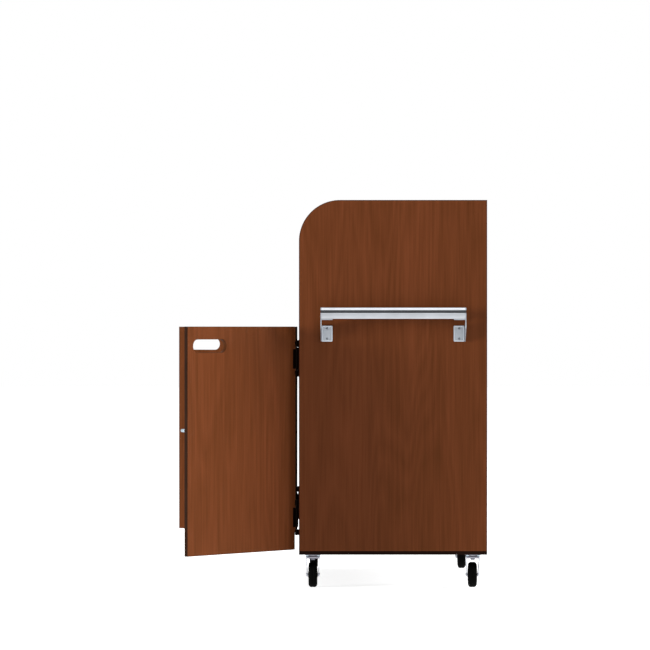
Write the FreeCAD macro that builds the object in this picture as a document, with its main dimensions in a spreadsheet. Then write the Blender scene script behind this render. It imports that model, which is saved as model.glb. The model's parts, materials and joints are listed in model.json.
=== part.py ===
import FreeCAD, Part
import math
import os
import Sketcher

# Condiment station cabinet on casters. Millimetres, +Z up, front at -Y. The origin is on the
# floor under the middle of the body. "Right" is +X.

doc = FreeCAD.newDocument("CondimentStation")
sizes = doc.addObject("Spreadsheet::Sheet", "Sizes")

DRIVING_SIZES = [
    # body
    ("width", 1067), ("depth", 610), ("height", 1260),
    ("panel_thick", 19), ("corner_radius", 133), ("band_thick", 2),
    ("base_thick", 12), ("bottom_thick", 18), ("back_thick", 16), ("back_inset", 3),
    ("worktop_height", 889), ("worktop_thick", 36),
    ("shelf_underside", 483), ("shelf_thick", 18), ("shelf_side_gap", 1),
    # doors
    ("door_thick", 12.7), ("door_band", 1), ("door_middle_gap", 3), ("door_end_gap", 3.3),
    ("door_inner_gap", 2.3), ("slot_length", 152.4), ("slot_height", 41.3),
    ("slot_from_edge", 27.5), ("slot_from_top", 40.9),
    ("rest_angle_right", 138.8), ("rest_angle_left", 124.3),
    # hinges
    ("hinge_length", 115), ("hinge_from_end", 105), ("frame_knuckle", 19), ("knuckle_notch", 7),
    ("knuckle_radius", 5.5), ("hinge_pin_radius", 2.25), ("pin_forward", 7.6),
    ("leaf_thick", 1.6), ("leaf_gap", 1), ("frame_leaf_depth", 30), ("door_wrap", 9.6),
    ("hinge_screw_spacing", 70), ("door_leaf_screw_spacing", 40),
    # catches
    ("strike_length", 38), ("strike_height", 11.4), ("strike_thick", 1.5),
    ("strike_from_edge", 8.2), ("strike_below_shelf", 6.3),
    ("catch_length", 46), ("catch_depth", 14), ("catch_height", 13), ("catch_wall", 2),
    ("catch_air", 0.5),
    # side handles
    ("bar_length", 464), ("bar_underside", 874), ("bar_height", 37.6), ("bar_depth", 22),
    ("bar_wall", 3), ("bead_height", 9.5), ("groove_height", 7.5), ("groove_depth", 4),
    ("bar_round", 4), ("handle_reach", 65), ("web_thick", 3), ("flange_width", 36),
    ("flange_bottom", 801), ("flange_height", 52), ("flange_thick", 5.5), ("flange_rim", 5),
    ("flange_recess", 2.5), ("saddle_thick", 3), ("handle_screw_inset", 9.5),
    ("web_toe", 8), ("web_shoulder", 848), ("web_round", 25),
    # casters
    ("caster_height", 110), ("caster_inset_x", 50), ("caster_inset_y", 45), ("trail", 28),
    ("wheel_radius", 41.3), ("tread_width", 29), ("tread_round", 10.5), ("tread_groove", 2),
    ("rim_radius", 29), ("rim_width", 24), ("rim_thick", 4), ("hub_width", 31),
    ("hub_radius", 10), ("web_width", 8), ("plate_length", 66), ("plate_width", 50),
    ("plate_thick", 3), ("race_radius", 21), ("race_height", 3), ("crown_length", 44),
    ("crown_height", 7.7), ("fork_width", 45.6), ("fork_foot_width", 38), ("fork_thick", 2.5),
    ("fork_foot", 7), ("fork_end_radius", 8), ("king_pin_radius", 5), ("king_nut_radius", 8),
    ("king_nut_height", 5.1), ("axle_radius", 4), ("axle_head_radius", 6.5),
    ("axle_head_height", 2.4), ("bolt_spacing_x", 52), ("bolt_spacing_y", 36),
    # fasteners and clearances
    ("screw_radius", 2), ("screw_head_radius", 3.6), ("screw_length", 16),
    ("handle_screw_length", 17), ("handle_head_height", 2), ("strike_screw_length", 10),
    ("bolt_radius", 2.5), ("bolt_head_radius", 4.5), ("bolt_head_height", 2.7),
    ("bolt_length", 25), ("dowel_radius", 4), ("dowel_length", 24), ("shelf_pin_radius", 2.5),
    ("shelf_pin_length", 18), ("shelf_pin_seat", 9), ("screw_slack", 0.1),
    ("run_clearance", 0.05), ("free_clearance", 0.3),
]
for row, (alias, size) in enumerate(DRIVING_SIZES, start=1):
    sizes.set(f"A{row}", str(size))
    sizes.setAlias(f"A{row}", alias)
doc.recompute()

DIRECTIONS = {
    "+X": FreeCAD.Vector(1, 0, 0), "-X": FreeCAD.Vector(-1, 0, 0),
    "+Y": FreeCAD.Vector(0, 1, 0), "-Y": FreeCAD.Vector(0, -1, 0),
    "+Z": FreeCAD.Vector(0, 0, 1), "-Z": FreeCAD.Vector(0, 0, -1),
}
SIDES = {"right": 1, "left": -1}
nodes = []


# ---------------------------------------------------------------- helpers

def ship(piece, label):
    """Name a finished sub-part. Its label is also its file's name."""
    piece.Label = label
    nodes.append(piece)
    return piece


def value(expression):
    """The number that an expression of the sheet's aliases gives now."""
    return float(sizes.evalExpression(str(expression)))


def bind(piece, expressions):
    """Bind properties of a document object to expressions."""
    for name, expression in expressions.items():
        piece.setExpression(name, str(expression))


def place(piece, x="0", y="0", z="0", direction="+Z"):
    """Stand a piece that is made along +Z at a point, pointing in a direction."""
    turn = FreeCAD.Rotation(DIRECTIONS["+Z"], DIRECTIONS[direction])
    piece.Placement = FreeCAD.Placement(FreeCAD.Vector(), turn)
    bind(piece, {"Placement.Base.x": x, "Placement.Base.y": y, "Placement.Base.z": z})
    return piece


def box(name, x, y, z):
    """A block between low and high expressions on each axis."""
    block = doc.addObject("Part::Box", name)
    for size, base, (low, high) in zip(("Length", "Width", "Height"), "xyz", (x, y, z)):
        bind(block, {size: f"({high}) - ({low})", f"Placement.Base.{base}": low})
    return block


def rod(name, radius, length, **where):
    """A cylinder, placed as place() says."""
    cylinder = doc.addObject("Part::Cylinder", name)
    bind(cylinder, {"Radius": radius, "Height": length})
    return place(cylinder, **where)


def fuse(name, pieces):
    """One solid of several touching or overlapping ones."""
    whole = doc.addObject("Part::MultiFuse", name)
    whole.Shapes = pieces
    whole.Refine = True
    return whole


def group(name, pieces):
    """Several separate solids under one name."""
    together = doc.addObject("Part::Compound", name)
    together.Links = pieces
    return together


def drill(name, blank, tools):
    """A blank with the tools' volumes taken away."""
    drilled = doc.addObject("Part::Cut", name)
    drilled.Base = blank
    drilled.Tool = group(name + "_tools", tools)
    return drilled


def mirrored(side, low, high):
    """A low and high pair across X, for the right side or mirrored for the left."""
    return (low, high) if side > 0 else (f"-({high})", f"-({low})")


def hold(sketch, kind, *where):
    """A sketch dimension bound to an expression, which is the last argument."""
    expression = str(where[-1])
    index = sketch.addConstraint(Sketcher.Constraint(kind, *where[:-1], value(expression)))
    sketch.setExpression(f"Constraints[{index}]", expression)


def pin_point(sketch, geometry, point, x, y):
    """Fix a point of the geometry at x, y from the sketch's origin."""
    hold(sketch, "DistanceX", -1, 1, geometry, point, x)
    hold(sketch, "DistanceY", -1, 1, geometry, point, y)


def draw_outline(sketch, corners):
    """A closed outline. A corner is (x, y), or (x, y, radius) where it is rounded."""
    count = len(corners)
    spots = [FreeCAD.Vector(value(corner[0]), value(corner[1]), 0) for corner in corners]
    rounds = [value(corner[2]) if len(corner) > 2 else 0 for corner in corners]
    entries = []
    exits = []
    for i in range(count):
        back = (spots[i - 1] - spots[i]).normalize()
        ahead = (spots[(i + 1) % count] - spots[i]).normalize()
        reach = rounds[i] / math.tan(back.getAngle(ahead) / 2)
        entries.append(spots[i] + back * reach)
        exits.append(spots[i] + ahead * reach)
    lines = [sketch.addGeometry(Part.LineSegment(exits[i], entries[(i + 1) % count]), False)
             for i in range(count)]
    for i, corner in enumerate(corners):
        if not rounds[i]:
            sketch.addConstraint(Sketcher.Constraint("Coincident", lines[i - 1], 2, lines[i], 1))
            pin_point(sketch, lines[i], 1, corner[0], corner[1])
            continue
        back = (spots[i - 1] - spots[i]).normalize()
        ahead = (spots[(i + 1) % count] - spots[i]).normalize()
        middle = (back + ahead).normalize()
        centre = spots[i] + middle * (rounds[i] / math.sin(back.getAngle(ahead) / 2))
        left_turn = back.cross(ahead).z < 0
        start, end = (entries[i], exits[i]) if left_turn else (exits[i], entries[i])
        first = math.atan2(start.y - centre.y, start.x - centre.x)
        last = math.atan2(end.y - centre.y, end.x - centre.x)
        circle = Part.Circle(centre, DIRECTIONS["+Z"], rounds[i])
        arc = sketch.addGeometry(Part.ArcOfCircle(circle, first, last), False)
        enter, leave = (1, 2) if left_turn else (2, 1)
        sketch.addConstraint(Sketcher.Constraint("Tangent", lines[i - 1], 2, arc, enter))
        sketch.addConstraint(Sketcher.Constraint("Tangent", lines[i], 1, arc, leave))
        hold(sketch, "Radius", arc, corner[2])
        apex = sketch.addGeometry(Part.Point(spots[i]), True)
        pin_point(sketch, apex, 1, corner[0], corner[1])
        sketch.addConstraint(Sketcher.Constraint("PointOnObject", apex, 1, lines[i - 1]))
        sketch.addConstraint(Sketcher.Constraint("PointOnObject", apex, 1, lines[i]))


def draw_stadium(sketch, x_low, x_high, y_low, y_high):
    """A slot with half-round ends that runs along the sketch's first axis."""
    radius = f"(({y_high}) - ({y_low})) / 2"
    axis_y = f"(({y_high}) + ({y_low})) / 2"
    size = value(radius)
    left = FreeCAD.Vector(value(x_low) + size, value(axis_y), 0)
    right = FreeCAD.Vector(value(x_high) - size, value(axis_y), 0)
    up = FreeCAD.Vector(0, size, 0)
    quarter = math.pi / 2
    left_circle = Part.Circle(left, DIRECTIONS["+Z"], size)
    right_circle = Part.Circle(right, DIRECTIONS["+Z"], size)
    left_arc = sketch.addGeometry(Part.ArcOfCircle(left_circle, quarter, 3 * quarter), False)
    right_arc = sketch.addGeometry(Part.ArcOfCircle(right_circle, -quarter, quarter), False)
    lower = sketch.addGeometry(Part.LineSegment(left - up, right - up), False)
    upper = sketch.addGeometry(Part.LineSegment(right + up, left + up), False)
    for arc, arc_point, line, line_point in ((left_arc, 2, lower, 1), (right_arc, 1, lower, 2),
                                             (right_arc, 2, upper, 1), (left_arc, 1, upper, 2)):
        sketch.addConstraint(Sketcher.Constraint("Tangent", line, line_point, arc, arc_point))
    sketch.addConstraint(Sketcher.Constraint("Equal", left_arc, right_arc))
    hold(sketch, "Radius", left_arc, radius)
    pin_point(sketch, left_arc, 3, f"({x_low}) + {radius}", axis_y)
    hold(sketch, "DistanceX", -1, 1, right_arc, 3, f"({x_high}) - {radius}")


def start_body(name, plane):
    """A body with an empty sketch on one of its own origin planes."""
    body = doc.addObject("PartDesign::Body", name)
    sketch = body.newObject("Sketcher::SketchObject", name + "_sketch")
    face = [feature for feature in body.Origin.OriginFeatures if feature.Role == plane][0]
    sketch.AttachmentSupport = [(face, "")]
    sketch.MapMode = "FlatFace"
    return body, sketch


def prism(name, plane, low, high, outlines, stadiums=()):
    """Outlines padded from low to high along the plane's normal axis."""
    body, sketch = start_body(name, plane)
    # The XZ plane's sketch faces -Y, so its pad starts at the high end.
    offset = f"-({high})" if plane == "XZ_Plane" else low
    bind(sketch, {"AttachmentOffset.Base.z": offset})
    for outline in outlines:
        draw_outline(sketch, outline)
    for stadium in stadiums:
        draw_stadium(sketch, *stadium)
    pad = body.newObject("PartDesign::Pad", name + "_pad")
    pad.Profile = sketch
    bind(pad, {"Length": f"({high}) - ({low})"})
    return body


def lathe(name, outline):
    """An outline of (along the axle, radius) corners, turned round the Y axis."""
    body, sketch = start_body(name, "YZ_Plane")
    draw_outline(sketch, outline)
    turn = body.newObject("PartDesign::Revolution", name + "_turn")
    turn.Profile = sketch
    turn.ReferenceAxis = (sketch, ["H_Axis"])
    turn.Angle = 360
    return body


def rectangle(x, y, radius=None):
    """The four corners of a rectangle, all rounded alike if a radius is given."""
    spots = [(x[0], y[0]), (x[1], y[0]), (x[1], y[1]), (x[0], y[1])]
    return [spot + (radius,) for spot in spots] if radius else spots


def pegs(name, spots, radius, length, direction):
    """Plain pins at the spots."""
    return [rod(f"{name}_{i}", radius, length, x=x, y=y, z=z, direction=direction)
            for i, (x, y, z) in enumerate(spots)]


def screws(name, spots, shank, length, head, head_height, direction, flush, slack="0"):
    """Screws that start at the spots: flush ones have a cone inside, others a pan outside."""
    made = []
    for i, (x, y, z) in enumerate(spots):
        stem = rod(f"{name}_{i}_stem", f"{shank} + {slack}", length)
        if flush:
            cap = doc.addObject("Part::Cone", f"{name}_{i}_head")
            bind(cap, {"Radius1": f"{head} + {slack}", "Radius2": f"{shank} + {slack}",
                       "Height": head_height})
        else:
            cap = rod(f"{name}_{i}_head", f"{head} + {slack}", head_height,
                      z=f"-({head_height})")
        whole = fuse(f"{name}_{i}", [stem, cap])
        made.append(place(whole, x, y, z, direction))
    return made


# ---------------------------------------------------------------- shared places

half_width = "(Sizes.width / 2)"
half_depth = "(Sizes.depth / 2)"
inner_face = "(Sizes.width / 2 - Sizes.panel_thick)"
body_bottom = "(Sizes.caster_height + Sizes.base_thick)"
floor_top = f"({body_bottom} + Sizes.bottom_thick)"
worktop_underside = "(Sizes.worktop_height - Sizes.worktop_thick)"
back_outer = f"({half_depth} - Sizes.back_inset)"
back_inner = f"({half_depth} - Sizes.back_inset - Sizes.back_thick)"

# Each door hangs in a frame of its own: the pin is at x = 0, y = 0, the closed door runs away
# from its side panel and lies behind the pin.
pin_from_face = "(Sizes.leaf_thick + Sizes.leaf_gap / 2)"
pin_x = f"({inner_face} - {pin_from_face})"
pin_y = f"(-{half_depth} - Sizes.pin_forward)"
door_face = "(Sizes.knuckle_radius + Sizes.free_clearance)"
door_back = f"({door_face} + Sizes.door_thick)"
door_root = pin_from_face
door_free = f"({pin_x} - Sizes.door_middle_gap / 2)"
door_bottom = f"({body_bottom} + Sizes.door_end_gap)"
door_top = f"({worktop_underside} - Sizes.door_end_gap)"
closed_back = f"({pin_y} + {door_back})"
board_front = f"({closed_back} + Sizes.door_inner_gap)"
hinge_heights = {
    "lower": f"({door_bottom} + Sizes.hinge_from_end)",
    "upper": f"({door_top} - Sizes.hinge_from_end)",
}


# ---------------------------------------------------------------- carcass boards

# Fasteners that cross two boards are listed first, because both boards are drilled for them.

dowel_rows = [
    # height, and the places along the depth
    (f"({body_bottom} + Sizes.bottom_thick / 2)", (f"-{half_depth} * 0.6", f"{half_depth} * 0.6")),
    (f"({worktop_underside} + Sizes.worktop_thick / 2)",
     (f"-{half_depth} * 0.6", f"{half_depth} * 0.6")),
    (f"({body_bottom} + (Sizes.height - {body_bottom}) * 0.25)",
     (f"({back_inner} + Sizes.back_thick / 2)",)),
    (f"({body_bottom} + (Sizes.height - {body_bottom}) * 0.55)",
     (f"({back_inner} + Sizes.back_thick / 2)",)),
    (f"({body_bottom} + (Sizes.height - {body_bottom}) * 0.9)",
     (f"({back_inner} + Sizes.back_thick / 2)",)),
]


def dowel_spots(side):
    """Each dowel lies half in the side panel and half in the board beside it."""
    start = f"{side} * ({inner_face} - Sizes.dowel_length / 2)"
    return [(start, y, z) for z, places in dowel_rows for y in places]


def shelf_pin_spots(side):
    """Shelf pins start under the shelf and end in the side panel."""
    start = f"{side} * ({inner_face} - Sizes.shelf_pin_seat)"
    height = "(Sizes.shelf_underside - Sizes.shelf_pin_radius)"
    return [(start, f"{half_depth} * {share}", height) for share in (-0.7, 0.7)]


def handle_screw_spots(side, end):
    """Two screws in each bracket's flange, on the floor of its recess."""
    start = f"{side} * ({half_width} + Sizes.flange_thick - Sizes.flange_recess)"
    across = f"{end} * (Sizes.bar_length / 2 - Sizes.flange_width / 2)"
    low = "(Sizes.flange_bottom + Sizes.handle_screw_inset)"
    high = "(Sizes.flange_bottom + Sizes.flange_height - Sizes.handle_screw_inset)"
    return [(start, across, low), (start, across, high)]


def frame_screw_spots(side):
    """Two screws in each frame leaf, into the side panel's inner face."""
    start = f"{side} * ({inner_face} - Sizes.leaf_thick)"
    across = f"({pin_y} + Sizes.pin_forward + Sizes.frame_leaf_depth / 2)"
    return [(start, across, f"{height} + {half} * Sizes.hinge_screw_spacing / 2")
            for height in hinge_heights.values() for half in (-1, 1)]


dowels = {}
dowel_holes = {}
shelf_pins = {}
shelf_pin_holes = {}
handle_screws = {}
handle_screw_holes = {}
frame_screws = {}
frame_screw_holes = {}
ENDS = {"front": -1, "rear": 1}
for side_name, side in SIDES.items():
    outward = "+X" if side > 0 else "-X"
    inward = "-X" if side > 0 else "+X"
    dowels[side_name] = pegs(f"dowel_{side_name}", dowel_spots(side), "Sizes.dowel_radius",
                             "Sizes.dowel_length", outward)
    dowel_holes[side_name] = pegs(f"dowel_hole_{side_name}", dowel_spots(side),
                                  "Sizes.dowel_radius + Sizes.screw_slack",
                                  "Sizes.dowel_length", outward)
    shelf_pins[side_name] = pegs(f"shelf_pin_{side_name}", shelf_pin_spots(side),
                                 "Sizes.shelf_pin_radius", "Sizes.shelf_pin_length", outward)
    shelf_pin_holes[side_name] = pegs(f"shelf_pin_hole_{side_name}", shelf_pin_spots(side),
                                      "Sizes.shelf_pin_radius + Sizes.screw_slack",
                                      "Sizes.shelf_pin_length", outward)
    handle_spots = [spot for end in ENDS.values() for spot in handle_screw_spots(side, end)]
    handle_sizes = ("Sizes.screw_radius", "Sizes.handle_screw_length", "Sizes.screw_head_radius",
                    "Sizes.handle_head_height", inward, False)
    handle_screws[side_name] = screws(f"handle_screw_{side_name}", handle_spots, *handle_sizes)
    handle_screw_holes[side_name] = screws(f"handle_hole_{side_name}", handle_spots,
                                           *handle_sizes, slack="Sizes.screw_slack")
    frame_sizes = ("Sizes.screw_radius", "Sizes.screw_length", "Sizes.screw_head_radius",
                   "Sizes.leaf_thick", outward, True)
    frame_screws[side_name] = screws(f"frame_screw_{side_name}", frame_screw_spots(side),
                                     *frame_sizes)
    frame_screw_holes[side_name] = screws(f"frame_hole_{side_name}", frame_screw_spots(side),
                                          *frame_sizes, slack="Sizes.screw_slack")

for side_name, side in SIDES.items():
    thickness = mirrored(side, inner_face, half_width)
    front = f"-{half_depth}"
    board = [
        (f"{front} + Sizes.band_thick", body_bottom),
        (f"{half_depth} - Sizes.band_thick", body_bottom),
        (f"{half_depth} - Sizes.band_thick", "Sizes.height - Sizes.band_thick"),
        (f"{front} + Sizes.band_thick", "Sizes.height - Sizes.band_thick",
         "Sizes.corner_radius - Sizes.band_thick"),
    ]
    blank = prism(f"side_blank_{side_name}", "YZ_Plane", *thickness, [board])
    holes = (dowel_holes[side_name] + shelf_pin_holes[side_name]
             + handle_screw_holes[side_name] + frame_screw_holes[side_name])
    ship(drill(f"side_drilled_{side_name}", blank, holes), f"side_panel_{side_name}")
    # The band runs up the front, round the corner, over the top and down the back.
    band = [
        (front, body_bottom), (f"{front} + Sizes.band_thick", body_bottom),
        (f"{front} + Sizes.band_thick", "Sizes.height - Sizes.band_thick",
         "Sizes.corner_radius - Sizes.band_thick"),
        (f"{half_depth} - Sizes.band_thick", "Sizes.height - Sizes.band_thick"),
        (f"{half_depth} - Sizes.band_thick", body_bottom), (half_depth, body_bottom),
        (half_depth, "Sizes.height"), (front, "Sizes.height", "Sizes.corner_radius"),
    ]
    ship(prism(f"side_edge_{side_name}", "YZ_Plane", *thickness, [band]),
         f"side_band_{side_name}")

all_dowels = dowels["right"] + dowels["left"]
all_dowel_holes = dowel_holes["right"] + dowel_holes["left"]
between_sides = (f"-{inner_face}", inner_face)

back_blank = box("back_blank", between_sides, (back_inner, back_outer),
                 (body_bottom, "Sizes.height - Sizes.band_thick"))
ship(drill("back_drilled", back_blank, all_dowel_holes), "back_panel")
ship(box("back_edge", between_sides, (back_inner, back_outer),
         ("Sizes.height - Sizes.band_thick", "Sizes.height")), "back_top_band")

worktop_blank = box("worktop_blank", between_sides,
                    (f"-{half_depth} + Sizes.band_thick", back_inner),
                    (worktop_underside, "Sizes.worktop_height"))
ship(drill("worktop_drilled", worktop_blank, all_dowel_holes), "worktop")
ship(box("worktop_edge", between_sides, (f"-{half_depth}", f"-{half_depth} + Sizes.band_thick"),
         (worktop_underside, "Sizes.worktop_height")), "worktop_band")

shelf_sides = (f"-({inner_face} - Sizes.shelf_side_gap)", f"{inner_face} - Sizes.shelf_side_gap")
shelf_height = ("Sizes.shelf_underside", "Sizes.shelf_underside + Sizes.shelf_thick")
ship(box("shelf_board", shelf_sides, (f"{board_front} + Sizes.band_thick", back_inner),
         shelf_height), "shelf")
ship(box("shelf_edge", shelf_sides, (board_front, f"{board_front} + Sizes.band_thick"),
         shelf_height), "shelf_band")
ship(group("all_shelf_pins", shelf_pins["right"] + shelf_pins["left"]), "shelf_pins")
ship(group("all_dowels", all_dowels), "panel_dowels")
ship(group("all_handle_screws", handle_screws["right"] + handle_screws["left"]), "handle_screws")
ship(group("all_frame_screws", frame_screws["right"] + frame_screws["left"]),
     "hinge_frame_screws")


# ---------------------------------------------------------------- casters

CASTERS = {"front_right": (1, -1), "rear_right": (1, 1), "front_left": (-1, -1),
           "rear_left": (-1, 1)}
plate_underside = "(Sizes.caster_height - Sizes.plate_thick)"
race_bottom = f"({plate_underside} - Sizes.race_height)"
crown_top = f"({race_bottom} - Sizes.free_clearance)"
crown_bottom = f"({crown_top} - Sizes.crown_height)"
nut_bottom = f"({crown_bottom} - Sizes.free_clearance - Sizes.king_nut_height)"
foot_bottom = "(Sizes.wheel_radius - Sizes.fork_foot)"


def caster_centre(side, end):
    """The swivel axis of one caster."""
    return (f"{side} * ({half_width} - Sizes.caster_inset_x)",
            f"{end} * ({half_depth} - Sizes.caster_inset_y)")


def fork_blank(name):
    """An inverted U with legs that lean in, trimmed to its side outline."""
    crown_half = "(Sizes.fork_width / 2)"
    foot_half = "(Sizes.fork_foot_width / 2)"
    thick = "Sizes.fork_thick"
    section = [
        (f"-{crown_half}", crown_top, thick), (f"-{crown_half}", crown_bottom),
        (f"-{foot_half}", foot_bottom), (f"-{foot_half} + {thick}", foot_bottom),
        (f"-{crown_half} + {thick}", crown_bottom), (f"{crown_half} - {thick}", crown_bottom),
        (f"{foot_half} - {thick}", foot_bottom), (foot_half, foot_bottom),
        (crown_half, crown_bottom), (crown_half, crown_top, thick),
    ]
    reach = "(Sizes.crown_length / 2)"
    end_radius = "Sizes.fork_end_radius"
    outline = [
        (reach, crown_top), (reach, f"{crown_bottom} - {end_radius}", end_radius),
        (f"-Sizes.trail + {end_radius} + 2", foot_bottom, end_radius),
        (f"-Sizes.trail - {end_radius} - 2", foot_bottom, end_radius),
        (f"-Sizes.trail - {end_radius} - 2", "Sizes.wheel_radius + Sizes.fork_foot"),
        (f"-{reach}", crown_bottom), (f"-{reach}", crown_top),
    ]
    bent = prism(f"{name}_section", "YZ_Plane", "-Sizes.trail - Sizes.crown_length",
                 "Sizes.crown_length", [section])
    side_view = prism(f"{name}_side", "XZ_Plane", f"-{crown_half}", crown_half, [outline])
    trimmed = doc.addObject("Part::Common", f"{name}_trimmed")
    trimmed.Base = bent
    trimmed.Tool = side_view
    return trimmed


def wheel_outline():
    """Hub, web and rim of the wheel's core, as (along the axle, radius)."""
    bore = "(Sizes.axle_radius + Sizes.run_clearance)"
    half_hub = "(Sizes.hub_width / 2)"
    half_web = "(Sizes.web_width / 2)"
    half_rim = "(Sizes.rim_width / 2)"
    rim_inside = "(Sizes.rim_radius - Sizes.rim_thick)"
    return [
        (f"-{half_hub}", bore), (half_hub, bore), (half_hub, "Sizes.hub_radius"),
        (half_web, "Sizes.hub_radius"), (half_web, rim_inside), (half_rim, rim_inside),
        (half_rim, "Sizes.rim_radius"), (f"-{half_rim}", "Sizes.rim_radius"),
        (f"-{half_rim}", rim_inside), (f"-{half_web}", rim_inside),
        (f"-{half_web}", "Sizes.hub_radius"), (f"-{half_hub}", "Sizes.hub_radius"),
    ]


def tyre_outline():
    """The soft tread: round shoulders and a shallow groove along its middle."""
    half = "(Sizes.tread_width / 2)"
    return [
        (f"-{half}", "Sizes.rim_radius"), (half, "Sizes.rim_radius"),
        (half, "Sizes.wheel_radius", "Sizes.tread_round"),
        ("Sizes.tread_groove", "Sizes.wheel_radius"),
        ("0", "Sizes.wheel_radius - Sizes.tread_groove / 2"),
        ("-Sizes.tread_groove", "Sizes.wheel_radius"),
        (f"-{half}", "Sizes.wheel_radius", "Sizes.tread_round"),
    ]


bolts = []
bolt_holes = []
king_pins = []
for name, (side, end) in CASTERS.items():
    x, y = caster_centre(side, end)
    axle_x = f"{x} - Sizes.trail"
    bolt_spots = [(f"{x} + {i} * Sizes.bolt_spacing_x / 2", f"{y} + {j} * Sizes.bolt_spacing_y / 2",
                   plate_underside) for i in (-1, 1) for j in (-1, 1)]
    bolt_sizes = ("Sizes.bolt_radius", "Sizes.bolt_length", "Sizes.bolt_head_radius",
                  "Sizes.bolt_head_height", "+Z", False)
    bolts += screws(f"bolt_{name}", bolt_spots, *bolt_sizes)
    holes = screws(f"bolt_hole_{name}", bolt_spots, *bolt_sizes, slack="Sizes.screw_slack")
    bolt_holes += holes

    plate = box(f"plate_{name}", (f"{x} - Sizes.plate_length / 2", f"{x} + Sizes.plate_length / 2"),
                (f"{y} - Sizes.plate_width / 2", f"{y} + Sizes.plate_width / 2"),
                (plate_underside, "Sizes.caster_height"))
    race = rod(f"race_{name}", "Sizes.race_radius", "Sizes.race_height", x=x, y=y, z=race_bottom)
    pin_hole = rod(f"pin_hole_{name}", "Sizes.king_pin_radius", "Sizes.race_height + "
                   "Sizes.plate_thick", x=x, y=y, z=race_bottom)
    ship(drill(f"plate_drilled_{name}", fuse(f"plate_race_{name}", [plate, race]),
               holes + [pin_hole]), f"caster_plate_{name}")

    shaft = rod(f"king_shaft_{name}", "Sizes.king_pin_radius",
                f"Sizes.caster_height - {nut_bottom}", x=x, y=y, z=nut_bottom)
    nut = rod(f"king_nut_{name}", "Sizes.king_nut_radius", "Sizes.king_nut_height",
              x=x, y=y, z=nut_bottom)
    king_pins.append(fuse(f"king_pin_{name}", [shaft, nut]))

    swivel_bore = rod(f"swivel_bore_{name}", "Sizes.king_pin_radius + Sizes.run_clearance",
                      "Sizes.caster_height", x="0", y="0", z=f"{crown_bottom} - 1")
    axle_bore = rod(f"axle_bore_{name}", "Sizes.axle_radius", "Sizes.fork_width + 2",
                    x="-Sizes.trail", y="-Sizes.fork_width / 2 - 1", z="Sizes.wheel_radius",
                    direction="+Y")
    fork = drill(f"fork_{name}", fork_blank(f"fork_blank_{name}"), [swivel_bore, axle_bore])
    ship(place(fork, x, y), f"caster_fork_{name}")

    # The axle is a bolt with a head at one end and a nut at the other, over the fork's legs.
    seat = "(Sizes.fork_foot_width / 2 + Sizes.free_clearance * 3)"
    half_axle = f"({seat} + Sizes.axle_head_height)"
    shank = rod(f"axle_shank_{name}", "Sizes.axle_radius", f"2 * {half_axle}", x=axle_x,
                y=f"{y} - {half_axle}", z="Sizes.wheel_radius", direction="+Y")
    heads = [rod(f"axle_head_{name}_{i}", "Sizes.axle_head_radius", "Sizes.axle_head_height",
                 x=axle_x, y=start, z="Sizes.wheel_radius", direction="+Y")
             for i, start in enumerate((f"{y} - {half_axle}", f"{y} + {seat}"))]
    ship(fuse(f"axle_{name}", [shank] + heads), f"caster_axle_{name}")
    ship(place(lathe(f"wheel_{name}", wheel_outline()), axle_x, y, "Sizes.wheel_radius"),
         f"caster_wheel_{name}")
    ship(place(lathe(f"tyre_{name}", tyre_outline()), axle_x, y, "Sizes.wheel_radius"),
         f"caster_tyre_{name}")

ship(group("all_bolts", bolts), "caster_bolts")
ship(group("all_king_pins", king_pins), "caster_king_pins")

base_blank = box("base_blank", (f"-{half_width}", half_width), (f"-{half_depth}", half_depth),
                 ("Sizes.caster_height", body_bottom))
ship(drill("base_drilled", base_blank, bolt_holes), "base_board")
bottom_blank = box("bottom_blank", between_sides,
                   (f"{board_front} + Sizes.band_thick", back_inner), (body_bottom, floor_top))
ship(drill("bottom_drilled", bottom_blank, bolt_holes + all_dowel_holes), "bottom_panel")
ship(box("bottom_edge", between_sides, (board_front, f"{board_front} + Sizes.band_thick"),
         (body_bottom, floor_top)), "bottom_panel_band")


# ---------------------------------------------------------------- doors, hinges and catches

def hang(piece, side, opening):
    """Stand a piece of a door's own frame at the pin, turned open."""
    piece.Placement = FreeCAD.Placement(FreeCAD.Vector(), FreeCAD.Rotation(DIRECTIONS["+Z"], 1))
    bind(piece, {"Placement.Base.x": f"{side} * {pin_x}", "Placement.Base.y": pin_y,
                 "Placement.Rotation.Angle": f"{side} * {opening}"})
    return piece


def away(side, near, far):
    """A low and high pair that runs from the pin towards the door's free edge."""
    return mirrored(side, f"-({far})", f"-({near})")


def knuckle_zones(height):
    """Heights of the lower frame knuckle, the door knuckle and the upper frame knuckle."""
    half = "Sizes.hinge_length / 2"
    low = f"({height} - {half})"
    high = f"({height} + {half})"
    return ((low, f"{low} + Sizes.frame_knuckle"),
            (f"{low} + Sizes.frame_knuckle + Sizes.knuckle_notch",
             f"{high} - Sizes.frame_knuckle - Sizes.knuckle_notch"),
            (f"{high} - Sizes.frame_knuckle", high))


def barrel(name, radius, zone, **where):
    """A cylinder round the pin's line over one zone of heights."""
    return rod(name, radius, f"({zone[1]}) - ({zone[0]})", z=zone[0], **where)


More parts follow.
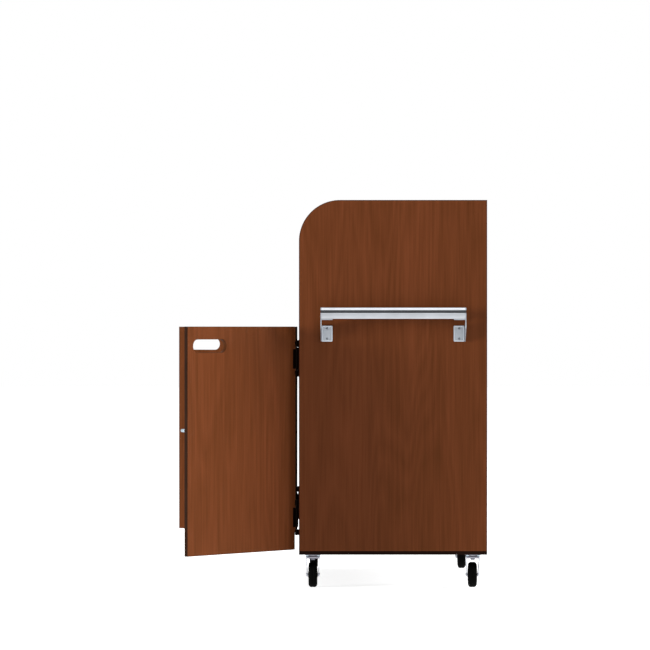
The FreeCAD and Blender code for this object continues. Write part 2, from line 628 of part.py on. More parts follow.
def frame_leaf(name, side, height):
    """The leaf on the side panel: two knuckles, and a plate with a notch for the door's."""
    lower, middle, upper = knuckle_zones(height)
    x = f"{side} * {pin_x}"
    plate_x = mirrored(side, f"{inner_face} - Sizes.leaf_thick", inner_face)
    plate_end = f"-{half_depth} + Sizes.frame_leaf_depth"
    parts = [box(f"{name}_plate", plate_x, (f"-{half_depth}", plate_end), (lower[0], upper[1]))]
    for i, zone in enumerate((lower, upper)):
        parts.append(barrel(f"{name}_knuckle_{i}", "Sizes.knuckle_radius", zone, x=x, y=pin_y))
        parts.append(box(f"{name}_tab_{i}", plate_x, (pin_y, f"-{half_depth}"), zone))
    bore = barrel(f"{name}_bore", "Sizes.hinge_pin_radius + Sizes.run_clearance",
                  (f"{lower[0]} - 1", f"{upper[1]} + 1"), x=x, y=pin_y)
    return fuse(f"{name}_whole", parts), bore


def door_leaf(name, side, height):
    """The leaf on the door: one knuckle, a plate on the edge and a wrap on the outer face."""
    middle = knuckle_zones(height)[1]
    parts = [
        barrel(f"{name}_knuckle", "Sizes.knuckle_radius", middle),
        box(f"{name}_plate", away(side, "Sizes.leaf_gap / 2", door_root),
            ("0", f"{door_back} - Sizes.door_band"), middle),
        box(f"{name}_wrap", away(side, "Sizes.leaf_gap / 2", f"{door_root} + Sizes.door_wrap"),
            (f"{door_face} - Sizes.leaf_thick", door_face), middle),
    ]
    bore = barrel(f"{name}_bore", "Sizes.hinge_pin_radius + Sizes.run_clearance",
                  (f"{middle[0]} - 1", f"{middle[1]} + 1"))
    return fuse(f"{name}_whole", parts), bore


hinge_pins = []
for side_name, side in SIDES.items():
    opening = f"Sizes.rest_angle_{side_name}"
    frame_leaves = []
    door_leaves = []
    door_screw_spots = []
    for level, height in hinge_heights.items():
        leaf, bore = frame_leaf(f"frame_leaf_{side_name}_{level}", side, height)
        leaf_screws = screws(f"leaf_hole_{side_name}_{level}",
                             [spot for spot in frame_screw_spots(side) if height in spot[2]],
                             "Sizes.screw_radius", "Sizes.screw_length",
                             "Sizes.screw_head_radius", "Sizes.leaf_thick",
                             "+X" if side > 0 else "-X", True, slack="Sizes.screw_slack")
        frame_leaves.append(drill(f"frame_leaf_drilled_{side_name}_{level}", leaf,
                                  leaf_screws + [bore]))
        zones = knuckle_zones(height)
        hinge_pins.append(barrel(f"pin_{side_name}_{level}", "Sizes.hinge_pin_radius",
                                 (zones[0][0], zones[2][1]), x=f"{side} * {pin_x}", y=pin_y))
        spots = [(f"-{side} * Sizes.leaf_gap / 2", f"{door_face} + Sizes.door_thick / 2",
                  f"{height} + {half} * Sizes.door_leaf_screw_spacing / 2") for half in (-1, 1)]
        door_screw_spots += spots
        leaf, bore = door_leaf(f"door_leaf_{side_name}_{level}", side, height)
        leaf_screws = screws(f"door_leaf_hole_{side_name}_{level}", spots, "Sizes.screw_radius",
                             "Sizes.screw_length", "Sizes.screw_head_radius", "Sizes.leaf_thick",
                             "-X" if side > 0 else "+X", True, slack="Sizes.screw_slack")
        door_leaves.append(drill(f"door_leaf_drilled_{side_name}_{level}", leaf,
                                 leaf_screws + [bore]))
    ship(group(f"frame_leaves_{side_name}", frame_leaves), f"hinge_frame_leaves_{side_name}")
    ship(hang(group(f"door_leaves_{side_name}", door_leaves), side, opening),
         f"hinge_door_leaves_{side_name}")

    # The strike plate meets the catch under the shelf when the door is closed.
    strike_top = "(Sizes.shelf_underside - Sizes.strike_below_shelf + Sizes.strike_height / 2)"
    strike_z = (f"{strike_top} - Sizes.strike_height", strike_top)
    strike_far = f"({door_free} - Sizes.strike_from_edge)"
    strike_middle = f"({strike_far} - Sizes.strike_length / 2)"
    strike_screw_spot = [(f"-{side} * {strike_middle}", f"{door_back} + Sizes.strike_thick",
                          f"{strike_top} - Sizes.strike_height / 2")]
    strike_screw_sizes = ("Sizes.screw_radius", "Sizes.strike_screw_length",
                          "Sizes.screw_head_radius", "Sizes.strike_thick", "-Y", True)
    strike_screw = screws(f"strike_screw_{side_name}", strike_screw_spot, *strike_screw_sizes)
    strike_hole = screws(f"strike_hole_{side_name}", strike_screw_spot, *strike_screw_sizes,
                         slack="Sizes.screw_slack")
    strike = box(f"strike_{side_name}",
                 away(side, f"{strike_far} - Sizes.strike_length", strike_far),
                 (door_back, f"{door_back} + Sizes.strike_thick"), strike_z)
    ship(hang(drill(f"strike_drilled_{side_name}", strike, strike_hole), side, opening),
         f"catch_strike_{side_name}")

    door_screw_sizes = ("Sizes.screw_radius", "Sizes.screw_length", "Sizes.screw_head_radius",
                        "Sizes.leaf_thick", "-X" if side > 0 else "+X", True)
    edge_screws = screws(f"door_screw_{side_name}", door_screw_spots, *door_screw_sizes)
    edge_holes = screws(f"door_hole_{side_name}", door_screw_spots, *door_screw_sizes,
                        slack="Sizes.screw_slack")
    ship(hang(group(f"door_screw_group_{side_name}", edge_screws + strike_screw), side, opening),
         f"door_screws_{side_name}")

    whole = (away(side, door_root, door_free), (door_bottom, door_top))
    core = (away(side, f"{door_root} + Sizes.door_band", f"{door_free} - Sizes.door_band"),
            (f"{door_bottom} + Sizes.door_band", f"{door_top} - Sizes.door_band"))
    slot_far = f"({door_free} - Sizes.slot_from_edge)"
    slot = (*away(side, f"{slot_far} - Sizes.slot_length", slot_far),
            f"{door_top} - Sizes.slot_from_top - Sizes.slot_height",
            f"{door_top} - Sizes.slot_from_top")
    board = prism(f"door_blank_{side_name}", "XZ_Plane", door_face, door_back,
                  [rectangle(*core)], [slot])
    ship(hang(drill(f"door_drilled_{side_name}", board, edge_holes + strike_hole), side,
              opening), f"door_{side_name}")
    band = prism(f"door_edge_{side_name}", "XZ_Plane", door_face, door_back,
                 [rectangle(*whole), rectangle(*core)])
    band_holes = screws(f"band_hole_{side_name}", door_screw_spots, *door_screw_sizes,
                        slack="Sizes.screw_slack")
    ship(hang(drill(f"door_edge_drilled_{side_name}", band, band_holes), side, opening),
         f"door_band_{side_name}")
ship(group("all_hinge_pins", hinge_pins), "hinge_pins")

catch_front = f"({closed_back} + Sizes.strike_thick + Sizes.catch_air)"
catch_cases = []
catch_magnets = []
for side_name, side in SIDES.items():
    middle = f"{side} * ({pin_x} - {strike_middle})"
    length = (f"{middle} - Sizes.catch_length / 2", f"{middle} + Sizes.catch_length / 2")
    case = box(f"catch_{side_name}", length, (catch_front, f"{catch_front} + Sizes.catch_depth"),
               ("Sizes.shelf_underside - Sizes.catch_height", "Sizes.shelf_underside"))
    pocket = (f"{middle} - Sizes.catch_length / 2 + Sizes.catch_wall",
              f"{middle} + Sizes.catch_length / 2 - Sizes.catch_wall")
    magnet_z = ("Sizes.shelf_underside - Sizes.catch_height + Sizes.catch_wall",
                "Sizes.shelf_underside - Sizes.catch_wall")
    magnet_y = (catch_front, f"{catch_front} + Sizes.catch_depth - Sizes.catch_wall")
    hollow = box(f"catch_hollow_{side_name}", pocket, magnet_y, magnet_z)
    catch_cases.append(drill(f"catch_case_{side_name}", case, [hollow]))
    catch_magnets.append(box(f"magnet_{side_name}", pocket, magnet_y, magnet_z))
ship(group("all_catch_cases", catch_cases), "magnetic_catches")
ship(group("all_catch_magnets", catch_magnets), "catch_magnets")


# ---------------------------------------------------------------- side handles

def bar_outline(side):
    """The extrusion's section: a round bead along the top, a groove, and a broad flat face."""
    outer = f"({half_width} + Sizes.handle_reach)"
    inner = f"({outer} - Sizes.bar_depth)"
    floor = f"({outer} - Sizes.groove_depth)"
    bottom = "Sizes.bar_underside"
    top = "(Sizes.bar_underside + Sizes.bar_height)"
    bead = f"({top} - Sizes.bead_height)"
    shelf = f"({bead} - Sizes.groove_height)"
    edge = "Sizes.bar_round"
    right = [
        (inner, bottom, edge), (outer, bottom, edge), (outer, shelf, f"{edge} / 4"),
        (floor, shelf), (floor, bead), (outer, bead, f"{edge} / 2"), (outer, top, edge),
        (inner, top, edge),
    ]
    hollow = [
        (f"{inner} + Sizes.bar_wall", f"{bottom} + Sizes.bar_wall"),
        (f"{floor} - Sizes.bar_wall", f"{bottom} + Sizes.bar_wall"),
        (f"{floor} - Sizes.bar_wall", f"{top} - Sizes.bar_wall"),
        (f"{inner} + Sizes.bar_wall", f"{top} - Sizes.bar_wall"),
    ]
    return [[(f"{side} * ({corner[0]})",) + corner[1:] for corner in loop]
            for loop in (right, hollow)]


def web_outline(side):
    """The bracket's end web, from the panel out and up to the bar's end."""
    face = half_width
    outer = f"({half_width} + Sizes.handle_reach)"
    inner = f"({outer} - Sizes.bar_depth)"
    top = "(Sizes.bar_underside + Sizes.bar_height)"
    flange_top = "(Sizes.flange_bottom + Sizes.flange_height)"
    edge = "Sizes.bar_round"
    right = [
        (face, "Sizes.flange_bottom"), (f"{face} + Sizes.web_toe", "Sizes.flange_bottom"),
        (outer, "Sizes.web_shoulder", "Sizes.web_round"), (outer, top, edge),
        (inner, top, edge), (inner, "Sizes.bar_underside"), (face, flange_top),
    ]
    return [(f"{side} * ({corner[0]})",) + corner[1:] for corner in right]


for side_name, side in SIDES.items():
    ship(prism(f"bar_{side_name}", "XZ_Plane", "-Sizes.bar_length / 2", "Sizes.bar_length / 2",
               bar_outline(side)), f"handle_bar_{side_name}")
    outer = f"({half_width} + Sizes.handle_reach)"
    for end_name, end in ENDS.items():
        name = f"bracket_{side_name}_{end_name}"
        bar_end = "(Sizes.bar_length / 2)"
        flange_x = mirrored(side, half_width, f"{half_width} + Sizes.flange_thick")
        flange_y = mirrored(end, f"{bar_end} - Sizes.flange_width", bar_end)
        flange_z = ("Sizes.flange_bottom", "Sizes.flange_bottom + Sizes.flange_height")
        flange = box(f"{name}_flange", flange_x, flange_y, flange_z)
        web = prism(f"{name}_web", "XZ_Plane",
                    *mirrored(end, bar_end, f"{bar_end} + Sizes.web_thick"), [web_outline(side)])
        saddle = box(f"{name}_saddle",
                     mirrored(side, f"{outer} - Sizes.bar_depth", f"{outer} - Sizes.bar_round"),
                     flange_y, ("Sizes.bar_underside - Sizes.saddle_thick", "Sizes.bar_underside"))
        recess = box(f"{name}_recess",
                     mirrored(side, f"{half_width} + Sizes.flange_thick - Sizes.flange_recess",
                              f"{half_width} + Sizes.flange_thick + 1"),
                     mirrored(end, f"{bar_end} - Sizes.flange_width + Sizes.flange_rim",
                              f"{bar_end} - Sizes.flange_rim"),
                     ("Sizes.flange_bottom + Sizes.flange_rim",
                      "Sizes.flange_bottom + Sizes.flange_height - Sizes.flange_rim"))
        holes = screws(f"{name}_hole", handle_screw_spots(side, end), "Sizes.screw_radius",
                       "Sizes.handle_screw_length", "Sizes.screw_head_radius",
                       "Sizes.handle_head_height", "-X" if side > 0 else "+X", False,
                       slack="Sizes.screw_slack")
        cast = fuse(f"{name}_cast", [flange, web, saddle])
        ship(drill(f"{name}_drilled", cast, [recess] + holes),
             f"handle_bracket_{side_name}_{end_name}")


# ---------------------------------------------------------------- check and write

doc.recompute()
for piece in doc.Objects:
    if "Invalid" in piece.State or "Error" in piece.State:
        raise RuntimeError(f"{piece.Label} did not build: {piece.State}")
for piece in nodes:
    if piece.Shape.isNull() or not piece.Shape.isValid():
        raise RuntimeError(f"{piece.Label} has no valid shape")

os.makedirs("parts", exist_ok=True)
for piece in nodes:
    piece.Shape.exportStep(f"parts/{piece.Label}.step")
print(f"{len(nodes)} sub-parts")
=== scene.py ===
"""Condiment station cabinet: the finish of every surface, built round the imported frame."""

import json
import math

import bmesh
import bpy
import numpy as np
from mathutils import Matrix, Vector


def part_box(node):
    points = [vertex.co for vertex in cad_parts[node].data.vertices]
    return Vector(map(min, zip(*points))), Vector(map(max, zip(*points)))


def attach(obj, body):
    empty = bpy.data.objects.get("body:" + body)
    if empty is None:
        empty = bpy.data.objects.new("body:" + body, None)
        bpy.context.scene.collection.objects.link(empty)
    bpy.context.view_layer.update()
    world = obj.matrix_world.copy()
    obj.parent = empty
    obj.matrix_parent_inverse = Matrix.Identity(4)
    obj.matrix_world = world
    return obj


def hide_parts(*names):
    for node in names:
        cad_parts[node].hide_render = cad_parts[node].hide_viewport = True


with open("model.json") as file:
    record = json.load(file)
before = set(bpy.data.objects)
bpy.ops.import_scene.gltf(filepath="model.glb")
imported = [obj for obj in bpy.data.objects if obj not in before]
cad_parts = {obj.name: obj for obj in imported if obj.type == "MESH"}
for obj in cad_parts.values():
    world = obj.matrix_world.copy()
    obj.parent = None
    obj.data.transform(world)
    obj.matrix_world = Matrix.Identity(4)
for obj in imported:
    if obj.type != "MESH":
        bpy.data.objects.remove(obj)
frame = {"nodes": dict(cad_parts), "record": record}

bl_info = {
    "name": "Condiment Station Finish",
    "version": (1, 0, 0),
    "blender": (4, 5, 0),
    "location": "3D View > Sidebar > Station",
    "description": "Finishes a packed condiment station cabinet and sets its stage",
    "category": "Add Mesh",
}

SIDES = {"right": 1, "left": -1}
ENDS = {"front": -1, "rear": 1}
CORNERS = {"front_right": (1, -1), "rear_right": (1, 1), "front_left": (-1, -1),
           "rear_left": (-1, 1)}
FLOOR_SIZE = 80.0
FLOOR_GLOW = 0.72
CREASE = 40.0            # degrees; a sharper edge than this stays sharp

# Sizes in metres, as the frame's nodes have them. First the body and its boards.
HALF_WIDTH = 0.5335
HALF_DEPTH = 0.305
PANEL = 0.019
INNER_FACE = HALF_WIDTH - PANEL
BODY_BOTTOM = 0.122
BODY_TOP = 1.260
OPENING_TOP = 0.853
SHELF_UNDERSIDE = 0.483
CORNER_RADIUS = 0.133
BAND = 0.002

# A door, measured from its hinge pin: along to its free edge, and back to its two faces.
PIN_X = INNER_FACE - 0.0021
PIN_Y = -HALF_DEPTH - 0.0076
DOOR_ROOT = 0.0021
DOOR_FREE = PIN_X - 0.0015
DOOR_FACE = 0.0058
DOOR_BACK = DOOR_FACE + 0.0127
DOOR_AIR = 0.0033
DOOR_BOTTOM = BODY_BOTTOM + DOOR_AIR
DOOR_TOP = OPENING_TOP - DOOR_AIR
DOOR_BAND = 0.001
SLOT_LENGTH = 0.1524
SLOT_HEIGHT = 0.0413
SLOT_X = DOOR_FREE - 0.0275 - SLOT_LENGTH / 2
SLOT_Z = DOOR_TOP - 0.0409 - SLOT_HEIGHT / 2

# The strike plate on a door's back.
STRIKE_LENGTH = 0.038
STRIKE_HEIGHT = 0.0114
STRIKE_THICK = 0.0015
STRIKE_ROUND = 0.0055
STRIKE_FAR = DOOR_FREE - 0.0082
STRIKE_TOP = SHELF_UNDERSIDE - 0.0063 + STRIKE_HEIGHT / 2

# The hinges. A pair of screws stands the same distance above and below a hinge's middle.
HINGE_HEIGHTS = (DOOR_BOTTOM + 0.105, DOOR_TOP - 0.105)
HINGE_HALF = 0.0575
HINGE_PIN_RADIUS = 0.00225
HINGE_PIN_PROUD = 0.0008
FRAME_KNUCKLE = 0.019
KNUCKLE_NOTCH = 0.007
KNUCKLE_RADIUS = 0.0055
LEAF = 0.0016
LEAF_GAP = 0.001
LEAF_CORNER = 0.004
FRAME_LEAF_REACH = 0.030
FRAME_SCREW_REACH = 0.015
FRAME_SCREW_SPREAD = 0.035
DOOR_LEAF_HOOK = 0.0096
DOOR_SCREW_SPREAD = 0.020
SCREW_PROUD = 0.00005

# The side handles. A bracket has a flange on the panel and a web over the bar's end.
BAR_OUTER = HALF_WIDTH + 0.065
BAR_INNER = BAR_OUTER - 0.022
BAR_BOTTOM = 0.874
BAR_TOP = BAR_BOTTOM + 0.0376
BAR_END = 0.232
BEAD_BOTTOM = BAR_TOP - 0.0095
GROOVE_HEIGHT = 0.0080
GROOVE_BOTTOM = BEAD_BOTTOM - GROOVE_HEIGHT
GROOVE_FLOOR = BAR_OUTER - 0.004
FLANGE_FACE = HALF_WIDTH + 0.0055
FLANGE_WIDTH = 0.036
FLANGE_BOTTOM = 0.801
FLANGE_TOP = 0.853
FLANGE_RADIUS = 0.0035
FLANGE_SUNK = 0.0025
WEB_FOOT = 0.008
WEB_SHOULDER = 0.848
WEB_THICK = 0.003
SADDLE_THICK = 0.003
HANDLE_SCREW_INSET = 0.0095

# The casters, which trail to the left. A wheel has a hub, a thin disc and a rim.
CASTER_X = HALF_WIDTH - 0.050
CASTER_Y = HALF_DEPTH - 0.045
PLATE_HALF = (0.033, 0.025)
PLATE_BOTTOM = 0.107
PLATE_TOP = 0.110
BOLT_SPOT = (0.026, 0.018)
CROWN_HALF = (0.022, 0.0228)
CROWN_TOP = 0.1037
CROWN_BOTTOM = 0.096
NUT_BOTTOM = 0.0906
FOOT_BOTTOM = 0.0343
FOOT_HALF = 0.010
LEG_THICK = 0.0025
LEG_INSIDE = 0.019
LEG_LEAN = 0.0038
TRAIL = 0.028
WHEEL_RADIUS = 0.0413
TYRE_HALF = 0.0145
RIM_RADIUS = 0.029
RIM_HALF = 0.012
DISC_RADIUS = 0.025
DISC_HALF = 0.004
HUB_RADIUS = 0.010
HUB_HALF = 0.0155
AXLE_BORE = 0.00405


# ---------------------------------------------------------------- settings

def colour(label, text, default):
    """A colour that a user would change."""
    return bpy.props.FloatVectorProperty(name=label, description=text, default=default,
                                         subtype="COLOR", size=3, min=0.0, max=1.0)


def length(label, text, default):
    """A size in metres that a user would change."""
    return bpy.props.FloatProperty(name=label, description=text, default=default,
                                   subtype="DISTANCE", unit="LENGTH", min=0.0)


class StationFinish(bpy.types.PropertyGroup):
    """Colours of the cabinet's materials, as linear values."""
    cherry_light: colour("Cherry, light", "Light streaks of the laminate", (0.160, 0.0440, 0.0145))
    cherry_dark: colour("Cherry, dark", "Dark streaks of the laminate", (0.079, 0.0220, 0.0040))
    dark_band: colour("Door edge band", "Edge band round the doors", (0.022, 0.0085, 0.0040))
    aluminium: colour("Aluminium", "Handle bars", (0.46, 0.48, 0.51))
    casting: colour("Casting", "Handle brackets", (0.43, 0.46, 0.50))
    # Painted shade: this zinc is darkened for the shade under the body; the fork legs and the
    # axles wear a lighter, lit copy of the same zinc.
    zinc: colour("Zinc", "Caster forks and plates", (0.27, 0.27, 0.31))
    black: colour("Black", "Hinges and base board", (0.008, 0.0032, 0.0018))


class StationEdges(bpy.types.PropertyGroup):
    """How far edges are rounded."""
    band_round: length("Band edge", "Rounding of the edge bands", 0.0008)
    sheet_round: length("Sheet edge", "Rounding of plates and leaves", 0.0004)
    casting_round: length("Casting edge", "Rounding of the cast brackets", 0.0008)
    knuckle_chamfer: length("Knuckle chamfer", "Chamfer at the ends of a hinge knuckle", 0.0007)
    slot_round: length("Slot edge", "Rounding of the grip slot in a door", 0.0015)


class StationStage(bpy.types.PropertyGroup):
    """Where the camera stands, and how strong the studio light is."""
    camera_x: length("Camera X", "Distance of the camera from the middle", 12.6595)
    camera_back: length("Camera towards the doors", "How far the camera stands forward", 0.2206)
    camera_height: length("Camera height", "Height of the lens above the floor", 0.8467)
    lens: bpy.props.FloatProperty(name="Lens", description="Focal length in millimetres",
                                  default=207.2, min=10.0)
    rise: bpy.props.FloatProperty(name="Lens shift", description="Upward shift of the view",
                                  default=2.5 / 650)
    key: bpy.props.FloatProperty(name="Key light", description="Power of the light at the side",
                                 default=150.0, min=0.0, unit="POWER")
    rear: bpy.props.FloatProperty(name="Rear light", description="Power of the light at the back",
                                  default=1700.0, min=0.0, unit="POWER")
    front: bpy.props.FloatProperty(name="Front light", description="Power of the light in front",
                                   default=900.0, min=0.0, unit="POWER")
    sky: bpy.props.FloatProperty(name="Sky", description="Strength of the even light all round",
                                 default=0.40, min=0.0)


# ---------------------------------------------------------------- materials

def new_material(name):
    """A new material, its node tree and its Principled shader."""
    material = bpy.data.materials.new(name)
    material.use_nodes = True
    tree = material.node_tree
    return material, tree, tree.nodes["Principled BSDF"]


def set_sockets(node, **values):
    """A node with constants on its own sockets. An underscore in a name stands for a space."""
    for socket, value in values.items():
        node.inputs[socket.replace("_", " ")].default_value = value
    return node


def combined(tree, operation, first, second):
    """Two values joined by a Math node. The second is a number or another node's output."""
    node = tree.nodes.new("ShaderNodeMath")
    node.operation = operation
    tree.links.new(first, node.inputs[0])
    if isinstance(second, float):
        node.inputs[1].default_value = second
    else:
        tree.links.new(second, node.inputs[1])
    return node.outputs[0]


def stretched_noise(tree, stretch, scale, detail=3.0, roughness=0.5, distortion=0.0):
    """Noise on Object coordinates, drawn out along the axes whose stretch is small."""
    place = tree.nodes.new("ShaderNodeTexCoord")
    mapping = set_sockets(tree.nodes.new("ShaderNodeMapping"), Scale=stretch)
    noise = set_sockets(tree.nodes.new("ShaderNodeTexNoise"), Scale=scale, Detail=detail,
                        Roughness=roughness, Distortion=distortion)
    tree.links.new(place.outputs["Object"], mapping.inputs["Vector"])
    tree.links.new(mapping.outputs["Vector"], noise.inputs["Vector"])
    return noise.outputs["Fac"]


def blend_values(tree, first, second, share):
    """A value between two others: first at share 0, second at share 1."""
    mix = tree.nodes.new("ShaderNodeMix")
    mix.data_type = "FLOAT"
    set_sockets(mix, Factor=share)
    tree.links.new(first, mix.inputs["A"])
    tree.links.new(second, mix.inputs["B"])
    return mix.outputs["Result"]


def ramp(tree, value, stops):
    """A colour ramp: stops are (position, colour)."""
    node = tree.nodes.new("ShaderNodeValToRGB")
    elements = node.color_ramp.elements
    while len(elements) < len(stops):
        elements.new(0.5)
    for element, (position, tone) in zip(elements, stops):
        element.position = position
        element.color = (*tone, 1.0)
    tree.links.new(value, node.inputs["Fac"])
    return node.outputs["Color"]


def spread(tree, value, low, high):
    """A value carried from 0..1 to low..high."""
    node = set_sockets(tree.nodes.new("ShaderNodeMapRange"), To_Min=low, To_Max=high)
    tree.links.new(value, node.inputs["Value"])
    return node.outputs["Result"]


def bump(tree, shader, value, strength, distance):
    """Fine relief from a value, in metres."""
    node = set_sockets(tree.nodes.new("ShaderNodeBump"), Strength=strength, Distance=distance)
    tree.links.new(value, node.inputs["Height"])
    tree.links.new(node.outputs["Normal"], shader.inputs["Normal"])


def shade(base, factor):
    """A darker or lighter version of a colour."""
    return tuple(min(1.0, channel * factor) for channel in base)


def cherry_laminate(name, light, dark, along="Z"):
    """Printed wood grain: soft bands, faint arches, streaks and short pores along one axis. The
    arches are contour lines of the hills, a value that runs up and down between 0 and 1."""
    material, tree, shader = new_material(name)

    def drawn(share):
        """A stretch that draws noise out along the grain."""
        return tuple(share if axis == along else 1.0 for axis in "XYZ")

    hills = stretched_noise(tree, drawn(0.13), 4.6, 2.0, roughness=0.45, distortion=0.25)
    broad = stretched_noise(tree, drawn(0.06), 13.0, 3.0, roughness=0.5, distortion=0.3)
    streaks = stretched_noise(tree, drawn(0.03), 105.0, 4.0, roughness=0.6, distortion=0.2)
    pores = stretched_noise(tree, drawn(0.02), 430.0, 2.0, roughness=0.6)
    arches = combined(tree, "PINGPONG", combined(tree, "MULTIPLY", hills, 34.0), 1.0)
    grain = hills
    for layer, share in ((broad, 0.40), (arches, 0.14), (streaks, 0.42), (pores, 0.15)):
        grain = blend_values(tree, grain, layer, share)
    middle = tuple((a + b) / 2 for a, b in zip(light, dark))
    tone = ramp(tree, grain, [(0.32, dark), (0.50, middle), (0.66, light)])
    tree.links.new(tone, shader.inputs["Base Color"])
    tree.links.new(spread(tree, streaks, 0.42, 0.54), shader.inputs["Roughness"])
    bump(tree, shader, pores, 0.12, 0.00015)
    set_sockets(shader, Specular_IOR_Level=0.07)
    return material


def moulded(name, base, rough, grain_scale=900.0, gloss=0.10):
    """Plastic, rubber or paint: a fine even grain with slight changes of tone."""
    material, tree, shader = new_material(name)
    cloud = stretched_noise(tree, (1, 1, 1), 14.0, 3.0)
    fine = stretched_noise(tree, (1, 1, 1), grain_scale, 2.0)
    tone = ramp(tree, cloud, [(0.3, shade(base, 0.82)), (0.7, shade(base, 1.18))])
    tree.links.new(tone, shader.inputs["Base Color"])
    tree.links.new(spread(tree, cloud, rough - 0.06, rough + 0.06), shader.inputs["Roughness"])
    bump(tree, shader, fine, 0.15, 0.0001)
    set_sockets(shader, Specular_IOR_Level=gloss)
    return material


def metal(name, base, rough, stretch=(1, 1, 1), line_scale=300.0):
    """Metal with fine lines along the axis whose stretch is small, or cast skin if all are 1."""
    material, tree, shader = new_material(name)
    lines = stretched_noise(tree, stretch, line_scale, 4.0, roughness=0.6)
    cloud = stretched_noise(tree, (1, 1, 1), 22.0, 2.0)
    tone = ramp(tree, blend_values(tree, lines, cloud, 0.5),
                [(0.35, shade(base, 0.92)), (0.65, shade(base, 1.07))])
    tree.links.new(tone, shader.inputs["Base Color"])
    tree.links.new(spread(tree, lines, rough - 0.07, rough + 0.07), shader.inputs["Roughness"])
    bump(tree, shader, lines, 0.08, 0.00008)
    set_sockets(shader, Metallic=1.0)
    return material


def make_materials(finish):
    """Every material of the cabinet, by a short name."""
    light, dark = tuple(finish.cherry_light), tuple(finish.cherry_dark)
    black, aluminium = tuple(finish.black), tuple(finish.aluminium)
    casting, zinc = tuple(finish.casting), tuple(finish.zinc)
    beech_light, beech_dark = (0.62, 0.42, 0.24), (0.5, 0.32, 0.17)
    drawn = (1, 0.02, 1)
    return {
        "cherry": cherry_laminate("cherry_laminate", light, dark),
        "cherry_level": cherry_laminate("cherry_level_boards", light, dark, "X"),
        "cherry_band": moulded("cherry_edge_band", (0.045, 0.0095, 0.0035), 0.5, gloss=0.04),
        # Painted shade: the grip slot's walls and rounded edges wear the laminate's dark streak
        # darkened to 0.8, for the shade inside the slot.
        "slot_wall_shade": moulded("slot_wall_shade", shade(dark, 0.8), 0.6),
        "dark_band": moulded("dark_edge_band", tuple(finish.dark_band), 0.5, gloss=0.05),
        "black_board": moulded("black_base_board", shade(black, 1.4), 0.6, gloss=0.03),
        "beech": cherry_laminate("beech_dowel", beech_light, beech_dark, "X"),
        "hinge": moulded("black_hinge_paint", shade(black, 0.3), 0.5, 1500.0, 0.03),
        "aluminium": metal("anodised_aluminium", aluminium, 0.34, drawn, 420.0),
        # Painted shade: the groove's faces, on the bars and on the brackets' webs, wear the bar's
        # aluminium darkened to 0.13.
        "groove": metal("bar_groove_painted_shade", shade(aluminium, 0.13), 0.5, drawn, 420.0),
        # Painted highlight: the bead's faces wear the bar's aluminium lightened by 1.35, for the
        # light that catches the top of the bar.
        "bead": metal("bead_painted_highlight", shade(aluminium, 1.35), 0.3, drawn, 420.0),
        "screw": metal("dull_screw", shade(casting, 0.45), 0.45),
        "cast": metal("cast_bracket", casting, 0.45, line_scale=520.0),
        # Painted shade: the flange's sunken middle wears the casting darkened to 0.84, for the
        # shade in the recess.
        "cast_shaded_recess": metal("cast_recess_painted_shade", shade(casting, 0.84), 0.55, line_scale=520.0),
        "steel": metal("bright_steel", (0.43, 0.53, 0.60), 0.3, (1, 1, 0.1), 600.0),
        # Painted shade: the zinc of the plates, races, crowns and king pins is darkened for the
        # shade under the body.
        "zinc": metal("zinc_painted_shade", zinc, 0.4, line_scale=160.0),
        # The lit copy of the same zinc, lighter, on the fork legs and the axles.
        "bright_zinc": metal("bright_zinc", (0.55, 0.57, 0.62), 0.34, line_scale=160.0),
        "nylon": moulded("black_nylon", (0.0035, 0.0034, 0.0033), 0.5, gloss=0.05),
        "tread": moulded("black_tread", (0.0020, 0.0020, 0.0019), 0.7, 700.0, 0.03),
        "catch": moulded("brown_catch", (0.055, 0.025, 0.012), 0.45),
        "magnet": moulded("grey_magnet", (0.06, 0.06, 0.06), 0.7),
    }


MATERIALS = {}


def finish_nodes(material, *names):
    """Give CAD nodes a material in all their slots."""
    for name in names:
        node = frame["nodes"][name]
        if not node.data.materials:
            node.data.materials.append(MATERIALS[material])
        for slot in node.material_slots:
            slot.material = MATERIALS[material]


# ---------------------------------------------------------------- shapes

AXES = {"X": (2, 0, 1), "Y": (0, 2, 1), "Z": (0, 1, 2)}


def stand(flat, along, axis):
    """Outline points (u, v) at a place along an axis: (along, u, v) on X, (u, along, v) on Y,
    (u, v, along) on Z."""
    return np.column_stack((flat, np.full(len(flat), along)))[:, AXES[axis]]


def rounded_outline(corners, steps=5):
    """A closed outline from corners (u, v) or (u, v, radius). A rounded corner's centre lies on
    the bisector at radius / sin(half angle), and its points turn evenly from the first contact
    point to the last."""
    spots = np.array([corner[:2] for corner in corners], float)
    back = np.roll(spots, 1, axis=0) - spots
    ahead = np.roll(spots, -1, axis=0) - spots
    back /= np.linalg.norm(back, axis=1, keepdims=True)
    ahead /= np.linalg.norm(ahead, axis=1, keepdims=True)
    share = np.linspace(0.0, 1.0, steps + 1)[:, None]
    points = []
    for corner, spot, one, other in zip(corners, spots, back, ahead):
        if len(corner) < 3:
            points.append(spot[None])
            continue
        half = math.acos(float(np.clip(one @ other, -1, 1))) / 2
        middle = one + other
        centre = spot + middle / np.linalg.norm(middle) * corner[2] / math.sin(half)
        reach = corner[2] / math.tan(half)
        first, last = spot + one * reach - centre, spot + other * reach - centre
        turn = math.pi - 2 * half
        points.append(centre + (np.sin((1 - share) * turn) * first
                                + np.sin(share * turn) * last) / math.sin(turn))
    outline = np.concatenate(points)
    u, v = outline.T
    return outline if u @ np.roll(v, -1) > v @ np.roll(u, -1) else outline[::-1]


